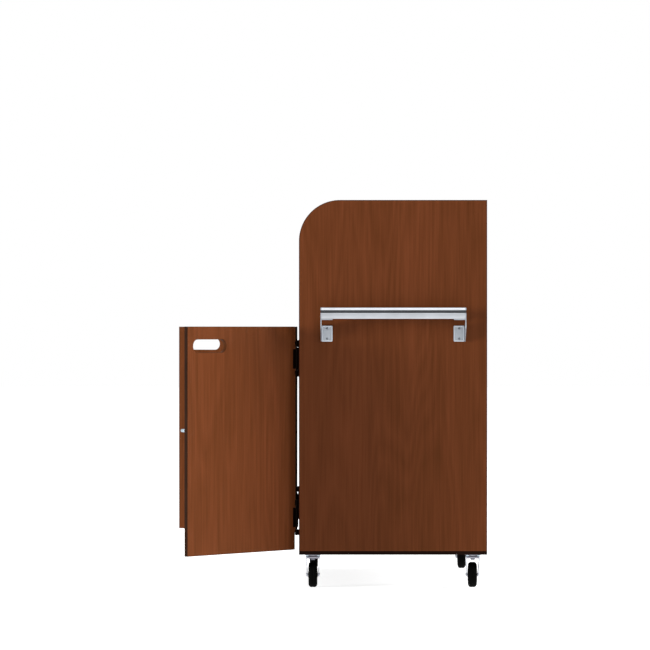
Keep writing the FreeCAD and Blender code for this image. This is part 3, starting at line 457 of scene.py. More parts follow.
def moved_in(path, distance, loop=True):
    """An anticlockwise path moved inwards: each point goes along the sum of its two edges'
    normals, by 2 * distance / (length of that sum) squared."""
    ahead = np.roll(path, -1, axis=0) - path
    ahead /= np.linalg.norm(ahead, axis=1, keepdims=True)
    after = np.column_stack((-ahead[:, 1], ahead[:, 0]))
    before = np.roll(after, 1, axis=0)
    if not loop:
        before[0], after[-1] = after[0], before[-1]
    both = before + after
    return path + both * (2 * distance / (both ** 2).sum(axis=1, keepdims=True))


def shell(rows, closed=True, joined=False, lids=True):
    """Faces over rows of points (k, n, 3). closed joins each row's ends, joined joins the last
    row to the first, and lids shut what stays open."""
    count, across = rows.shape[:2]
    index = np.arange(count * across).reshape(count, across)
    edge = np.vstack((index, index[:1])) if joined else index
    edge = np.hstack((edge, edge[:, :1])) if closed else edge
    quads = np.stack((edge[:-1, :-1], edge[:-1, 1:], edge[1:, 1:], edge[1:, :-1]), axis=-1)
    ends = []
    if lids and not joined:
        ends = [index[0][::-1], index[-1]]
    elif lids and not closed:
        ends = [index[:, 0], index[::-1, -1]]
    loops = np.concatenate([quads.reshape(-1), *ends])
    totals = np.concatenate([np.full(quads.size // 4, 4), [len(end) for end in ends]])
    return rows.reshape(-1, 3), loops, totals.astype(int)


def rings(outline, axis, steps, joined=False, loop=True):
    """A shell over copies of an outline, each moved in by a distance and set along the axis."""
    rows = np.stack([stand(moved_in(outline, distance, loop), along, axis)
                     for distance, along in steps])
    return shell(rows, closed=loop, joined=joined)


def slab(corners, axis, low, high, edge):
    """A flat piece with rounded edges: near each face the outline moves in by
    edge * (1 - sin a) at edge * (1 - cos a) from the face, for a from 0 to 90 degrees."""
    low, high = min(low, high), max(low, high)
    turn = np.radians((0.0, 30.0, 60.0, 90.0))
    moves, heights = edge * (1 - np.sin(turn)), edge * (1 - np.cos(turn))
    steps = list(zip(moves, low + heights)) + list(zip(moves[::-1], high - heights[::-1]))
    return rings(rounded_outline(corners), axis, steps)


def strip(path, axis, low, high, thick, edge, loop):
    """A band along a path: thick inwards, low to high across, with its two outer edges rounded
    by a quarter circle."""
    corner = edge * (1 - math.sin(math.pi / 4))
    profile = [(thick, low), (edge, low), (corner, low + corner), (0.0, low + edge),
               (0.0, high - edge), (corner, high - corner), (edge, high), (thick, high)]
    return rings(path, axis, profile, joined=True, loop=loop)


def rectangle(u, v, radius):
    """The corners of a rectangle, all rounded alike."""
    return [(u[0], v[0], radius), (u[1], v[0], radius), (u[1], v[1], radius),
            (u[0], v[1], radius)]


def stepped(u, v, radius, axis, steps):
    """A shell over a rectangle moved in by a distance at each place along the axis. Its corner
    radius shrinks by the same distance, to no less than 1 mm."""
    rows = [stand(rounded_outline(rectangle((u[0] + d, u[1] - d), (v[0] + d, v[1] - d),
                                            max(radius - d, 0.001))), along, axis)
            for d, along in steps]
    return shell(np.stack(rows))


def revolve(profile, centre, axis, facing=1, count=48, joined=False):
    """A profile turned round an axis, on which it starts and ends unless it is joined. A row is
    (radius, along, cross, hexagon). Its radius at angle t is
    radius * (1 - cross * (1 - |cos 2t| ^ 6)), and with hexagon 1 also times
    cos 30 / cos((t mod 60) - 30)."""
    table = np.array([tuple(row) + (0.0,) * (4 - len(row)) for row in profile], float)
    radius, along, cross, hexagon = (table[:, i:i + 1] for i in range(4))
    angle = np.arange(count) * (2 * math.pi / count)
    arms = 1 - np.abs(np.cos(2 * angle)) ** 6
    flats = math.cos(math.pi / 6) / np.cos(angle % (math.pi / 3) - math.pi / 6)
    reach = radius * (1 - cross * arms) * (1 - hexagon + hexagon * flats)
    rows = np.stack((reach * np.cos(angle), reach * np.sin(angle),
                     along * facing + 0 * reach), axis=-1)
    return shell(rows[..., AXES[axis]] + np.array(centre), joined=joined, lids=False)


def chamfered(radius, low, high, chamfer):
    """The profile of a round bar with chamfered ends."""
    return [(0, low), (radius - chamfer, low), (radius, low + chamfer),
            (radius, high - chamfer), (radius - chamfer, high), (0, high)]


def moved(shape, change):
    """A shape whose points are changed by a function."""
    return (change(shape[0]), *shape[1:])


def swing(side):
    """A change that carries points from a door's own frame, with the pin at its origin and X
    towards the free edge, to where the open door stands: set to that side, turned by the
    joint's rest angle, and moved to the pin."""
    sign = SIDES[side]
    joint = [joint for joint in frame["record"]["behaviour"]["joints"]
             if joint["name"] == f"{side}_door_hinge"][0]
    turn = math.radians(-joint["range_deg"][0]) * sign
    c, s = math.cos(turn), math.sin(turn)
    matrix = np.array(((c, s, 0), (-s, c, 0), (0, 0, 1)))
    return lambda points: points * (-sign, 1, 1) @ matrix + (sign * PIN_X, PIN_Y, 0)


def mirror(side):
    """A change that turns the right side's points into that side's."""
    return lambda points: points * (SIDES[side], 1, 1)


def face_starts(shape):
    """The number of the first point of each four-sided face, in a shell that ends in two lids."""
    return shape[1][:(len(shape[2]) - 2) * 4:4]


def make_piece(name, body, materials, shapes, replaced):
    """One piece of closed shells (points, loops, totals, and the place of their material), which
    stands for the CAD nodes that it replaces."""
    points = np.concatenate([shape[0] for shape in shapes])
    starts = np.cumsum([0] + [len(shape[0]) for shape in shapes[:-1]])
    loops = np.concatenate([shape[1] + start for shape, start in zip(shapes, starts)])
    totals = np.concatenate([shape[2] for shape in shapes])
    finish = np.concatenate([np.broadcast_to(shape[3] if len(shape) > 3 else 0, len(shape[2]))
                             for shape in shapes])
    mesh = bpy.data.meshes.new(name)
    mesh.vertices.add(len(points))
    mesh.vertices.foreach_set("co", points.ravel())
    mesh.loops.add(len(loops))
    mesh.loops.foreach_set("vertex_index", loops)
    mesh.polygons.add(len(totals))
    mesh.polygons.foreach_set("loop_start", np.cumsum(totals) - totals)
    mesh.polygons.foreach_set("material_index", finish.astype(int))
    mesh.update(calc_edges=True)
    work = bmesh.new()
    work.from_mesh(mesh)
    bmesh.ops.remove_doubles(work, verts=work.verts, dist=1e-7)
    bmesh.ops.recalc_face_normals(work, faces=work.faces)
    work.to_mesh(mesh)
    work.free()
    for material in materials:
        mesh.materials.append(MATERIALS[material])
    mesh.polygons.foreach_set("use_smooth", np.ones(len(mesh.polygons), bool))
    mesh.set_sharp_from_angle(angle=math.radians(CREASE))
    piece = bpy.data.objects.new(name, mesh)
    bpy.context.scene.collection.objects.link(piece)
    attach(piece, body)
    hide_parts(*replaced)


# ---------------------------------------------------------------- profiles

# Screw profiles: (radius, along the screw, cross recess, hexagon), the head's seat at 0.
FLUSH_SCREW = [(0, 0.0013), (0.0009, 0.0013, 0.5), (0.0021, 0, 0.62), (0.0033, 0),
               (0.0036, 0.0002), (0.0020, 0.0016), (0.0020, 0.0150), (0, 0.0160)]
STRIKE_SCREW = FLUSH_SCREW[:6] + [(0.0020, 0.0094), (0, 0.0100)]
PAN_SCREW = [(0, -0.0009), (0.0008, -0.0009, 0.5), (0.0020, -0.0020, 0.62), (0.0026, -0.0020),
             (0.0033, -0.0015), (0.0036, -0.0008), (0.0036, 0), (0.0020, 0), (0.0020, 0.0165),
             (0, 0.0170)]
HEX_BOLT = [(0, -0.0027), (0.0036, -0.0027), (0.0043, -0.0024, 0, 1), (0.0045, 0, 0, 1),
            (0.0025, 0), (0.0025, 0.0245), (0, 0.0250)]

# The bar's outline (x, z, radius): a round bead, a groove with soft corners and a broad face.
BAR_SECTION = [(BAR_INNER, BAR_BOTTOM, 0.003), (BAR_OUTER, BAR_BOTTOM, 0.004),
               (BAR_OUTER, GROOVE_BOTTOM, 0.0028), (GROOVE_FLOOR, GROOVE_BOTTOM, 0.001),
               (GROOVE_FLOOR, BEAD_BOTTOM, 0.001), (BAR_OUTER, BEAD_BOTTOM, 0.0028),
               (BAR_OUTER, BAR_TOP, 0.0045), (BAR_INNER, BAR_TOP, 0.003)]

# Turned parts of a caster. The wheel's and the tread's outlines are (radius, along).
TYRE = rounded_outline([(RIM_RADIUS, -TYRE_HALF, 0.0006), (RIM_RADIUS, TYRE_HALF, 0.0006),
                        (WHEEL_RADIUS, TYRE_HALF, 0.0105), (WHEEL_RADIUS, 0.0024, 0.0006),
                        (WHEEL_RADIUS - 0.001, 0.0), (WHEEL_RADIUS, -0.0024, 0.0006),
                        (WHEEL_RADIUS, -TYRE_HALF, 0.0105)], steps=8)
CORE = rounded_outline([(AXLE_BORE, -HUB_HALF), (AXLE_BORE, HUB_HALF),
                        (HUB_RADIUS, HUB_HALF, 0.001), (HUB_RADIUS, DISC_HALF, 0.0015),
                        (DISC_RADIUS, DISC_HALF, 0.0015), (DISC_RADIUS, RIM_HALF, 0.0006),
                        (RIM_RADIUS, RIM_HALF), (RIM_RADIUS, -RIM_HALF),
                        (DISC_RADIUS, -RIM_HALF, 0.0006), (DISC_RADIUS, -DISC_HALF, 0.0015),
                        (HUB_RADIUS, -DISC_HALF, 0.0015), (HUB_RADIUS, -HUB_HALF, 0.001)],
                       steps=4)
RACE = [(0, 0.104), (0.0185, 0.104), (0.0205, 0.1048), (0.021, 0.1058), (0.021, PLATE_BOTTOM),
        (0, PLATE_BOTTOM)]
KING_PIN = [(0, NUT_BOTTOM + 0.0004), (0.0044, NUT_BOTTOM + 0.0004), (0.005, NUT_BOTTOM + 0.001),
            (0.005, NUT_BOTTOM), (0.0070, NUT_BOTTOM, 0, 0.4), (0.008, NUT_BOTTOM + 0.0006, 0, 1),
            (0.008, NUT_BOTTOM + 0.0046, 0, 1), (0.0074, NUT_BOTTOM + 0.0051, 0, 1),
            (0.005, NUT_BOTTOM + 0.0051), (0.005, PLATE_TOP), (0, PLATE_TOP)]
AXLE_HEAD = [(0, 0.0223), (0.0054, 0.0223), (0.0065, 0.0219, 0, 1), (0.0065, 0.0199, 0, 1)]
AXLE = ([(radius, -along, *rest) for radius, along, *rest in AXLE_HEAD]
        + [(0.004, -0.0199), (0.004, 0.0199)] + AXLE_HEAD[::-1])


# ---------------------------------------------------------------- operators

class STATION_OT_boards(bpy.types.Operator):
    """Finish the carcass boards and make their edge bands"""
    bl_idname = "station.boards"
    bl_label = "Carcass boards"

    def execute(self, context):
        """Laminate on the boards, rounded cherry bands on their edges, black under the body."""
        edge = context.scene.station_edges.band_round
        finish_nodes("cherry", "side_panel_right", "side_panel_left", "back_panel")
        finish_nodes("cherry_level", "worktop", "bottom_panel", "shelf")
        finish_nodes("black_board", "base_board")
        finish_nodes("beech", "panel_dowels")
        finish_nodes("steel", "shelf_pins")
        path = rounded_outline([(HALF_DEPTH, BODY_BOTTOM), (HALF_DEPTH, BODY_TOP),
                                (-HALF_DEPTH, BODY_TOP, CORNER_RADIUS),
                                (-HALF_DEPTH, BODY_BOTTOM)], steps=24)
        for side in SIDES:
            band = strip(path, "X", INNER_FACE, HALF_WIDTH, BAND, edge, loop=False)
            make_piece(f"panel_edge_{side}", "cabinet", ["cherry_band"],
                       [moved(band, mirror(side))], [f"side_band_{side}"])
        for node in ("back_top_band", "worktop_band", "bottom_panel_band", "shelf_band"):
            low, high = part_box(node)
            band = slab(rectangle((low[1], high[1]), (low[2], high[2]), edge), "X",
                        low[0], high[0], edge / 2)
            make_piece(node.replace("_band", "_edge"), "cabinet", ["cherry_band"],
                       [band], [node])
        return {"FINISHED"}


def door_board(edge):
    """A door's board with its grip slot, as rings round the slot's middle. A ring's reach at
    angle t is the nearer side of the rectangle, or the slot: radius / |sin t| on its straight
    sides and half * |cos t| + root(radius^2 - half^2 sin^2 t) on its round ends."""
    u = np.array((DOOR_ROOT + DOOR_BAND, DOOR_FREE - DOOR_BAND)) - SLOT_X
    v = np.array((DOOR_BOTTOM + DOOR_BAND, DOOR_TOP - DOOR_BAND)) - SLOT_Z
    corners = np.arctan2(np.array((v[0], v[0], v[1], v[1])), np.array((u[0], u[1], u[1], u[0])))
    angle = np.sort(np.concatenate((np.linspace(-math.pi, math.pi, 120, endpoint=False) + 0.01,
                                    corners)))
    c, s = np.cos(angle), np.sin(angle)
    board = np.minimum(np.where(c > 0, u[1], u[0]) / c, np.where(s > 0, v[1], v[0]) / s)
    half = SLOT_LENGTH / 2 - SLOT_HEIGHT / 2

    def slot(grown):
        """The slot's reach, with its edge moved out."""
        radius = SLOT_HEIGHT / 2 + grown
        flat = radius / np.abs(s)
        round_end = half * np.abs(c) + np.sqrt(np.maximum(radius ** 2 - (half * s) ** 2, 0))
        return np.where(np.abs(flat * c) <= half, flat, round_end)

    bend = np.radians((0.0, 30.0, 60.0, 90.0))
    grown, sunk = edge * (1 - np.sin(bend)), edge * (1 - np.cos(bend))
    reaches = [board] + [slot(g) for g in grown] + [slot(g) for g in grown[::-1]] + [board]
    depths = [DOOR_FACE, *(DOOR_FACE + sunk), *(DOOR_BACK - sunk[::-1]), DOOR_BACK]
    rows = np.stack([np.column_stack((SLOT_X + reach * c, np.full(len(angle), depth),
                                      SLOT_Z + reach * s))
                     for reach, depth in zip(reaches, depths)])
    points, loops, totals = shell(rows, joined=True)
    # Painted shade: the slot's walls and rounded edges get the second, darker material.
    layer = np.arange(len(totals)) // len(angle)
    inside = (layer > 0) & (layer < len(reaches) - 2)
    return points, loops, totals, inside.astype(int)


class STATION_OT_doors(bpy.types.Operator):
    """Make the doors, their bands and strike plates"""
    bl_idname = "station.doors"
    bl_label = "Doors"

    def execute(self, context):
        """Boards with a softened grip slot, a dark band round them, and a steel strike plate."""
        edges = context.scene.station_edges
        path = rounded_outline([(DOOR_ROOT, DOOR_BOTTOM), (DOOR_FREE, DOOR_BOTTOM),
                                (DOOR_FREE, DOOR_TOP), (DOOR_ROOT, DOOR_TOP)])
        board = door_board(edges.slot_round)
        band = strip(path, "Y", DOOR_FACE, DOOR_BACK, DOOR_BAND, edges.band_round / 2, True)
        plate = slab(rectangle((STRIKE_FAR - STRIKE_LENGTH, STRIKE_FAR),
                               (STRIKE_TOP - STRIKE_HEIGHT, STRIKE_TOP), STRIKE_ROUND), "Y",
                     DOOR_BACK, DOOR_BACK + STRIKE_THICK, edges.sheet_round)
        screws = [revolve(STRIKE_SCREW, (STRIKE_FAR - STRIKE_LENGTH / 2,
                                         DOOR_BACK + STRIKE_THICK + SCREW_PROUD,
                                         STRIKE_TOP - STRIKE_HEIGHT / 2), "Y", -1, 32)]
        screws += [revolve(FLUSH_SCREW, (LEAF_GAP / 2 - SCREW_PROUD, (DOOR_FACE + DOOR_BACK) / 2,
                                         height + half * DOOR_SCREW_SPREAD), "X", 1, 32)
                   for height in HINGE_HEIGHTS for half in (-1, 1)]
        for side in SIDES:
            body, place = f"{side}_door", swing(side)
            make_piece(f"board_{side}", body, ["cherry", "slot_wall_shade"],
                       [moved(board, place)], [f"door_{side}"])
            make_piece(f"door_edge_{side}", body, ["dark_band"],
                       [moved(band, place)], [f"door_band_{side}"])
            make_piece(f"strike_{side}", body, ["steel"], [moved(plate, place)],
                       [f"catch_strike_{side}"])
            make_piece(f"door_screw_set_{side}", body, ["hinge"],
                       [moved(screw, place) for screw in screws], [f"door_screws_{side}"])
        return {"FINISHED"}


def knuckle(low, high, chamfer, spot=(0, 0, 0)):
    """A round hinge knuckle with chamfered ends, round the pin at a spot."""
    return revolve(chamfered(KNUCKLE_RADIUS, low, high, chamfer), spot, "Z")


def hinge_set(height, edges):
    """One hinge of the right side: the shapes of its frame leaf, of its pin, of its frame
    screws, and of its door leaf, which are in the door's own frame."""
    low, high = height - HINGE_HALF, height + HINGE_HALF
    lower, upper = (low, low + FRAME_KNUCKLE), (high - FRAME_KNUCKLE, high)
    middle = (lower[1] + KNUCKLE_NOTCH, upper[0] - KNUCKLE_NOTCH)
    spot, rear = (PIN_X, PIN_Y, 0), -HALF_DEPTH + FRAME_LEAF_REACH
    plate = [(PIN_Y, low), (rear, low, LEAF_CORNER), (rear, high, LEAF_CORNER), (PIN_Y, high),
             (PIN_Y, upper[0]), (-HALF_DEPTH, upper[0]), (-HALF_DEPTH, lower[1]),
             (PIN_Y, lower[1])]
    frame_leaf = [slab(plate, "X", INNER_FACE - LEAF, INNER_FACE, edges.sheet_round),
                  knuckle(*lower, edges.knuckle_chamfer, spot),
                  knuckle(*upper, edges.knuckle_chamfer, spot)]
    pin = revolve(chamfered(HINGE_PIN_RADIUS, low - HINGE_PIN_PROUD, high + HINGE_PIN_PROUD,
                            HINGE_PIN_PROUD), spot, "Z", count=24)
    screws = [revolve(FLUSH_SCREW, (INNER_FACE - LEAF - SCREW_PROUD,
                                    -HALF_DEPTH + FRAME_SCREW_REACH,
                                    height + half * FRAME_SCREW_SPREAD), "X", 1, 32)
              for half in (-1, 1)]
    hook = DOOR_ROOT + DOOR_LEAF_HOOK
    wrap = [(LEAF_GAP / 2, 0.0), (DOOR_ROOT, 0.0), (DOOR_ROOT, DOOR_FACE - LEAF),
            (hook, DOOR_FACE - LEAF, LEAF / 2), (hook, DOOR_FACE), (DOOR_ROOT, DOOR_FACE),
            (DOOR_ROOT, DOOR_BACK - DOOR_BAND), (LEAF_GAP / 2, DOOR_BACK - DOOR_BAND)]
    door_leaf = [slab(wrap, "Z", *middle, edges.sheet_round / 2),
                 knuckle(*middle, edges.knuckle_chamfer)]
    return frame_leaf, [pin], screws, door_leaf


class STATION_OT_hinges(bpy.types.Operator):
    """Make the hinges and their screws"""
    bl_idname = "station.hinges"
    bl_label = "Hinges"

    def execute(self, context):
        """Black leaves with round knuckles, pins and screws."""
        hinges = [hinge_set(height, context.scene.station_edges) for height in HINGE_HEIGHTS]
        frame_leaves, pins, screws, door_leaves = (sum(group, []) for group in zip(*hinges))
        for side in SIDES:
            make_piece(f"frame_leaves_{side}", "cabinet", ["hinge"],
                       [moved(leaf, mirror(side)) for leaf in frame_leaves],
                       [f"hinge_frame_leaves_{side}"])
            make_piece(f"door_leaves_{side}", f"{side}_door", ["hinge"],
                       [moved(leaf, swing(side)) for leaf in door_leaves],
                       [f"hinge_door_leaves_{side}"])
        make_piece("pins", "cabinet", ["hinge"],
                   [moved(pin, mirror(side)) for side in SIDES for pin in pins], ["hinge_pins"])
        make_piece("frame_screw_set", "cabinet", ["hinge"],
                   [moved(screw, mirror(side)) for side in SIDES for screw in screws],
                   ["hinge_frame_screws"])
        return {"FINISHED"}


class STATION_OT_catches(bpy.types.Operator):
    """Finish the magnetic catches"""
    bl_idname = "station.catches"
    bl_label = "Catches"

    def execute(self, context):
        """Brown cases with grey magnets."""
        finish_nodes("catch", "magnetic_catches")
        finish_nodes("magnet", "catch_magnets")
        return {"FINISHED"}


def handle_bar():
    """The bar of the right side: its outline carried from end to end, with the faces of its groove
    marked for a darker aluminium that paints the shade in the groove, and the faces of its bead
    for a lighter one that paints a highlight on the bead."""
    outline = rounded_outline(BAR_SECTION)
    points, loops, totals = rings(outline, "Y", [(0.0003, -BAR_END), (0, -BAR_END + 0.0003),
                                                 (0, BAR_END - 0.0003), (0.0003, BAR_END)])
    # Painted shade: the groove's floor faces take the darkened aluminium.
    groove = np.abs(outline[:, 0] - GROOVE_FLOOR) < 0.0005
    # Painted highlight: the bead's faces take the lightened aluminium.
    bead = outline[:, 1] > BEAD_BOTTOM - 1e-6
    first = face_starts((points, loops, totals)) % len(outline)
    after = (first + 1) % len(outline)
    finish = (groove[first] & groove[after]) + 2 * (bead[first] & bead[after])
    return points, loops, totals, np.append(finish, [0, 0])


def bracket(end, edge):
    """A bracket of the right side: a flange with a sunken middle, a web over the bar's end, on
    which the bar's groove goes on, and a saddle under the bar."""
    outer = end * BAR_END
    across = sorted((outer, end * (BAR_END - FLANGE_WIDTH)))
    flange = stepped(across, (FLANGE_BOTTOM, FLANGE_TOP), FLANGE_RADIUS, "X",
                     [(0, HALF_WIDTH), (0, FLANGE_FACE - 0.001), (0.0003, FLANGE_FACE - 0.0003),
                      (0.001, FLANGE_FACE), (0.0042, FLANGE_FACE), (0.005, FLANGE_FACE - 0.0005),
                      (0.0055, FLANGE_FACE - FLANGE_SUNK)])
    # Painted shade: the recess's floor face takes the darkened casting.
    floor = np.zeros(len(flange[2]), int)
    floor[-1] = 1
    web = slab([(HALF_WIDTH, FLANGE_BOTTOM), (HALF_WIDTH + WEB_FOOT, FLANGE_BOTTOM, 0.002),
                (BAR_OUTER, WEB_SHOULDER, 0.025), *BAR_SECTION[2:7],
                (BAR_INNER, BAR_TOP, 0.004), (BAR_INNER, BAR_BOTTOM, 0.004),
                (HALF_WIDTH, FLANGE_TOP)], "Y", outer, outer + end * WEB_THICK, edge)
    # Painted shade: the web's faces along the groove floor take the bar's darkened groove
    # aluminium.
    x, _, z = web[0][face_starts(web)].T
    sunk = ((np.abs(x - GROOVE_FLOOR + 0.0004) < 0.0009)
            & (np.abs(z - BEAD_BOTTOM + GROOVE_HEIGHT / 2) < GROOVE_HEIGHT / 2 + 0.0005))
    saddle = slab(rectangle((BAR_INNER, GROOVE_FLOOR), (BAR_BOTTOM - SADDLE_THICK, BAR_BOTTOM),
                            0.0008), "Y", *across, edge / 2)
    return [(*flange, floor), (*web, 2 * np.append(sunk, [0, 0])), saddle]


class STATION_OT_handles(bpy.types.Operator):
    """Make the side handles"""
    bl_idname = "station.handles"
    bl_label = "Side handles"

    def execute(self, context):
        """Drawn aluminium bars on cast brackets, held by pan head screws."""
        edge = context.scene.station_edges.casting_round
        bar, screws = handle_bar(), []
        for side in SIDES:
            place = mirror(side)
            make_piece(f"bar_{side}", "cabinet", ["aluminium", "groove", "bead"],
                       [moved(bar, place)], [f"handle_bar_{side}"])
            for end_name, end in ENDS.items():
                make_piece(f"bracket_{side}_{end_name}", "cabinet",
                           ["cast", "cast_shaded_recess", "groove"],
                           [moved(shape, place) for shape in bracket(end, edge)],
                           [f"handle_bracket_{side}_{end_name}"])
                screws += [moved(revolve(PAN_SCREW, (FLANGE_FACE - FLANGE_SUNK,
                                                     end * (BAR_END - FLANGE_WIDTH / 2), height),
                                         "X", -1, 32), place)
                           for height in (FLANGE_BOTTOM + HANDLE_SCREW_INSET,
                                          FLANGE_TOP - HANDLE_SCREW_INSET)]
        make_piece("handle_screw_set", "cabinet", ["screw"], screws, ["handle_screws"])
        return {"FINISHED"}


def fork_leg(sign):
    """A fork's leg: a rounded plate whose distance from the wheel's middle grows evenly with its
    height, from the foot to the crown."""
    outline = [(0.021, CROWN_TOP - 0.0015), (0.022, CROWN_BOTTOM - 0.008, 0.008),
               (-TRAIL + FOOT_HALF, FOOT_BOTTOM, 0.008), (-TRAIL - FOOT_HALF, FOOT_BOTTOM, 0.008),
               (-TRAIL - FOOT_HALF, WHEEL_RADIUS + 0.007, 0.006), (-0.022, CROWN_BOTTOM, 0.006),
               (-0.021, CROWN_TOP - 0.0015)]
    points, loops, totals = slab(outline, "Y", -LEG_THICK, 0, 0.0006)
    share = np.clip((points[:, 2] - FOOT_BOTTOM) / (CROWN_BOTTOM - FOOT_BOTTOM), 0, 1)
    points = points + np.column_stack((0 * share, LEG_INSIDE + LEG_LEAN * share, 0 * share))
    return points * (1, sign, 1), loops, totals


def make_caster(corner, x, y, edge):
    """One caster: its plate with the race, its fork, its axle, and its wheel with the tread."""
    spot, hub = (x, y, 0), (x - TRAIL, y, WHEEL_RADIUS)
    plate = slab(rectangle((x - PLATE_HALF[0], x + PLATE_HALF[0]),
                           (y - PLATE_HALF[1], y + PLATE_HALF[1]), 0.006), "Z",
                 PLATE_BOTTOM, PLATE_TOP, edge)
    make_piece(f"plate_{corner}", "cabinet", ["zinc"], [plate, revolve(RACE, spot, "Z")],
               [f"caster_plate_{corner}"])
    crown = slab(rectangle((-CROWN_HALF[0], CROWN_HALF[0]), (-CROWN_HALF[1], CROWN_HALF[1]),
                           0.005), "Z", CROWN_BOTTOM, CROWN_TOP, 0.0024)
    fork = [moved(shape, lambda points: points + spot)
            for shape in (crown, (*fork_leg(1), 1), (*fork_leg(-1), 1))]
    # Lit and shaded copies of one zinc: the crown wears the darkened one as painted shade, the
    # legs the lighter, lit one.
    make_piece(f"fork_{corner}", f"caster_{corner}", ["zinc", "bright_zinc"], fork,
               [f"caster_fork_{corner}"])
    make_piece(f"axle_{corner}", f"caster_{corner}", ["bright_zinc"],
               [revolve(AXLE, hub, "Y")], [f"caster_axle_{corner}"])
    make_piece(f"wheel_{corner}", f"wheel_{corner}", ["nylon"],
               [revolve(CORE, hub, "Y", count=72, joined=True)], [f"caster_wheel_{corner}"])
    make_piece(f"tread_{corner}", f"wheel_{corner}", ["tread"],
               [revolve(TYRE, hub, "Y", count=96, joined=True)], [f"caster_tyre_{corner}"])


class STATION_OT_casters(bpy.types.Operator):
    """Make the casters"""
    bl_idname = "station.casters"
    bl_label = "Casters"

    def execute(self, context):
        """Zinc plates, forks and axles, and black wheels with soft treads."""
        spots = [(side * CASTER_X, end * CASTER_Y) for side, end in CORNERS.values()]
        for corner, spot in zip(CORNERS, spots):
            make_caster(corner, *spot, context.scene.station_edges.sheet_round)
        make_piece("king_pin_set", "cabinet", ["zinc"],
                   [revolve(KING_PIN, (*spot, 0), "Z") for spot in spots], ["caster_king_pins"])
        bolts = [revolve(HEX_BOLT, (x + i * BOLT_SPOT[0], y + j * BOLT_SPOT[1], PLATE_BOTTOM), "Z")
                 for x, y in spots for i in (-1, 1) for j in (-1, 1)]
        make_piece("bolt_set", "cabinet", ["steel"], bolts, ["caster_bolts"])
        return {"FINISHED"}


class STATION_OT_stage(bpy.types.Operator):
    """Set the floor, the lights and the camera"""
    bl_idname = "station.stage"
    bl_label = "Stage"

    def execute(self, context):
        """A pale floor under an even sky, three square lights, and the camera. Only the light at
        the side shows in mirrors."""
        stage = context.scene.station_stage
        scene = context.scene
        scene.view_settings.view_transform = "Standard"
        make_floor()
        make_sky(scene, stage.sky)
        add_light("key_light", (9.0, 2.0, 7.0), 4.0, stage.key, mirrored=True)
        add_light("rear_light", (-0.8, 9.5, 3.5), 3.5, stage.rear, mirrored=False)
        add_light("front_light", (4.6, -9.1, 1.6), 2.5, stage.front, mirrored=False)
        camera = bpy.data.cameras.new("camera")
        camera.lens = stage.lens
        camera.shift_y = stage.rise
        camera.clip_end = 200.0
        holder = bpy.data.objects.new("camera", camera)
        scene.collection.objects.link(holder)
        holder.location = (stage.camera_x, -stage.camera_back, stage.camera_height)
        holder.rotation_euler = (math.pi / 2, 0.0, math.pi / 2)
        scene.camera = holder
        return {"FINISHED"}


def camera_white(tree):
    """1 for rays from the camera, a mirror or glass, and 0 for rays that carry light."""
    rays = tree.nodes.new("ShaderNodeLightPath").outputs
    seen = combined(tree, "MAXIMUM", rays["Is Camera Ray"], rays["Is Glossy Ray"])
    return combined(tree, "MAXIMUM", seen, rays["Is Transmission Ray"])


def make_floor():
    """A pale floor that keeps the object's shadow and otherwise meets the white backdrop."""
    half = FLOOR_SIZE / 2
    mesh = bpy.data.meshes.new("studio_floor")
    mesh.from_pydata([(-half, -half, 0), (half, -half, 0), (half, half, 0), (-half, half, 0)],
                     [], [(0, 1, 2, 3)])
    floor = bpy.data.objects.new("studio_floor", mesh)
    bpy.context.scene.collection.objects.link(floor)
    material, tree, shader = new_material("pale_floor")
    set_sockets(shader, Base_Color=(0.88, 0.88, 0.88, 1), Roughness=0.9, Specular_IOR_Level=0.1)
    glow = set_sockets(tree.nodes.new("ShaderNodeEmission"), Color=(1, 1, 1, 1))
    tree.links.new(combined(tree, "MULTIPLY", camera_white(tree), FLOOR_GLOW),
                   glow.inputs["Strength"])
    both = tree.nodes.new("ShaderNodeAddShader")
    tree.links.new(shader.outputs[0], both.inputs[0])
    tree.links.new(glow.outputs[0], both.inputs[1])
    tree.links.new(both.outputs[0], tree.nodes["Material Output"].inputs["Surface"])
    mesh.materials.append(material)


def make_sky(scene, strength):
    """White to the eye, and an even light of the given strength on the object."""
    world = bpy.data.worlds.new("studio_sky")
    scene.world = world
    world.use_nodes = True
    tree = world.node_tree
    background = set_sockets(tree.nodes["Background"], Color=(1, 1, 1, 1))
    mix = tree.nodes.new("ShaderNodeMix")
    mix.data_type = "FLOAT"
    set_sockets(mix, A=strength, B=1.0)
    tree.links.new(camera_white(tree), mix.inputs["Factor"])
    tree.links.new(mix.outputs["Result"], background.inputs["Strength"])


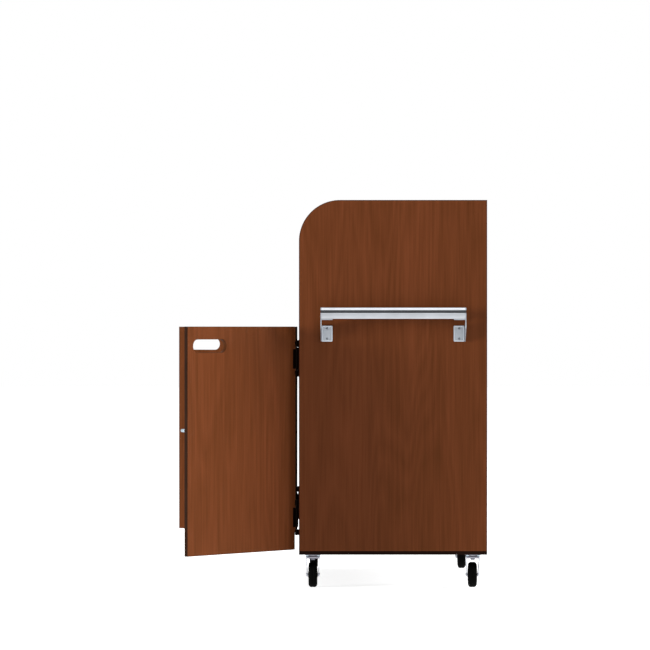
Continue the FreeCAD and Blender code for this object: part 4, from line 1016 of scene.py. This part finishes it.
def add_light(name, spot, size, power, mirrored):
    """A large square light that faces the middle of the object, and shows in mirrors or not."""
    light = bpy.data.lights.new(name, "AREA")
    light.shape = "SQUARE"
    light.size = size
    light.energy = power
    lamp = bpy.data.objects.new(name, light)
    bpy.context.scene.collection.objects.link(lamp)
    lamp.location = spot
    lamp.visible_glossy = mirrored
    aim = np.array((0.0, 0.0, 0.6)) - np.array(spot)
    flat = math.hypot(aim[0], aim[1])
    lamp.rotation_euler = (math.atan2(flat, -aim[2]), 0.0, math.atan2(-aim[0], aim[1]))


class STATION_PT_panel(bpy.types.Panel):
    """The station's steps in the 3D view's sidebar"""
    bl_label = "Condiment Station"
    bl_idname = "STATION_PT_panel"
    bl_space_type = "VIEW_3D"
    bl_region_type = "UI"
    bl_category = "Station"

    def draw(self, context):
        """List the settings and the operators."""
        for group in (context.scene.station_finish, context.scene.station_edges,
                      context.scene.station_stage):
            for key in group.__annotations__:
                self.layout.prop(group, key)
        for operator in OPERATORS:
            self.layout.operator(operator.bl_idname)


OPERATORS = (STATION_OT_boards, STATION_OT_doors, STATION_OT_hinges, STATION_OT_catches,
             STATION_OT_handles, STATION_OT_casters, STATION_OT_stage)
CLASSES = (StationFinish, StationEdges, StationStage, *OPERATORS, STATION_PT_panel)


def register():
    """Register the classes and hang their settings on the scene."""
    for item in CLASSES:
        bpy.utils.register_class(item)
    bpy.types.Scene.station_finish = bpy.props.PointerProperty(type=StationFinish)
    bpy.types.Scene.station_edges = bpy.props.PointerProperty(type=StationEdges)
    bpy.types.Scene.station_stage = bpy.props.PointerProperty(type=StationStage)


def unregister():
    """Undo register."""
    del bpy.types.Scene.station_stage
    del bpy.types.Scene.station_edges
    del bpy.types.Scene.station_finish
    for item in reversed(CLASSES):
        bpy.utils.unregister_class(item)


def main():
    """Run every step in order."""
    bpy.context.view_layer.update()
    register()
    MATERIALS.update(make_materials(bpy.context.scene.station_finish))
    bpy.ops.station.boards()
    bpy.ops.station.doors()
    bpy.ops.station.hinges()
    bpy.ops.station.catches()
    bpy.ops.station.handles()
    bpy.ops.station.casters()
    bpy.ops.station.stage()


if __name__ == "__main__":
    main()
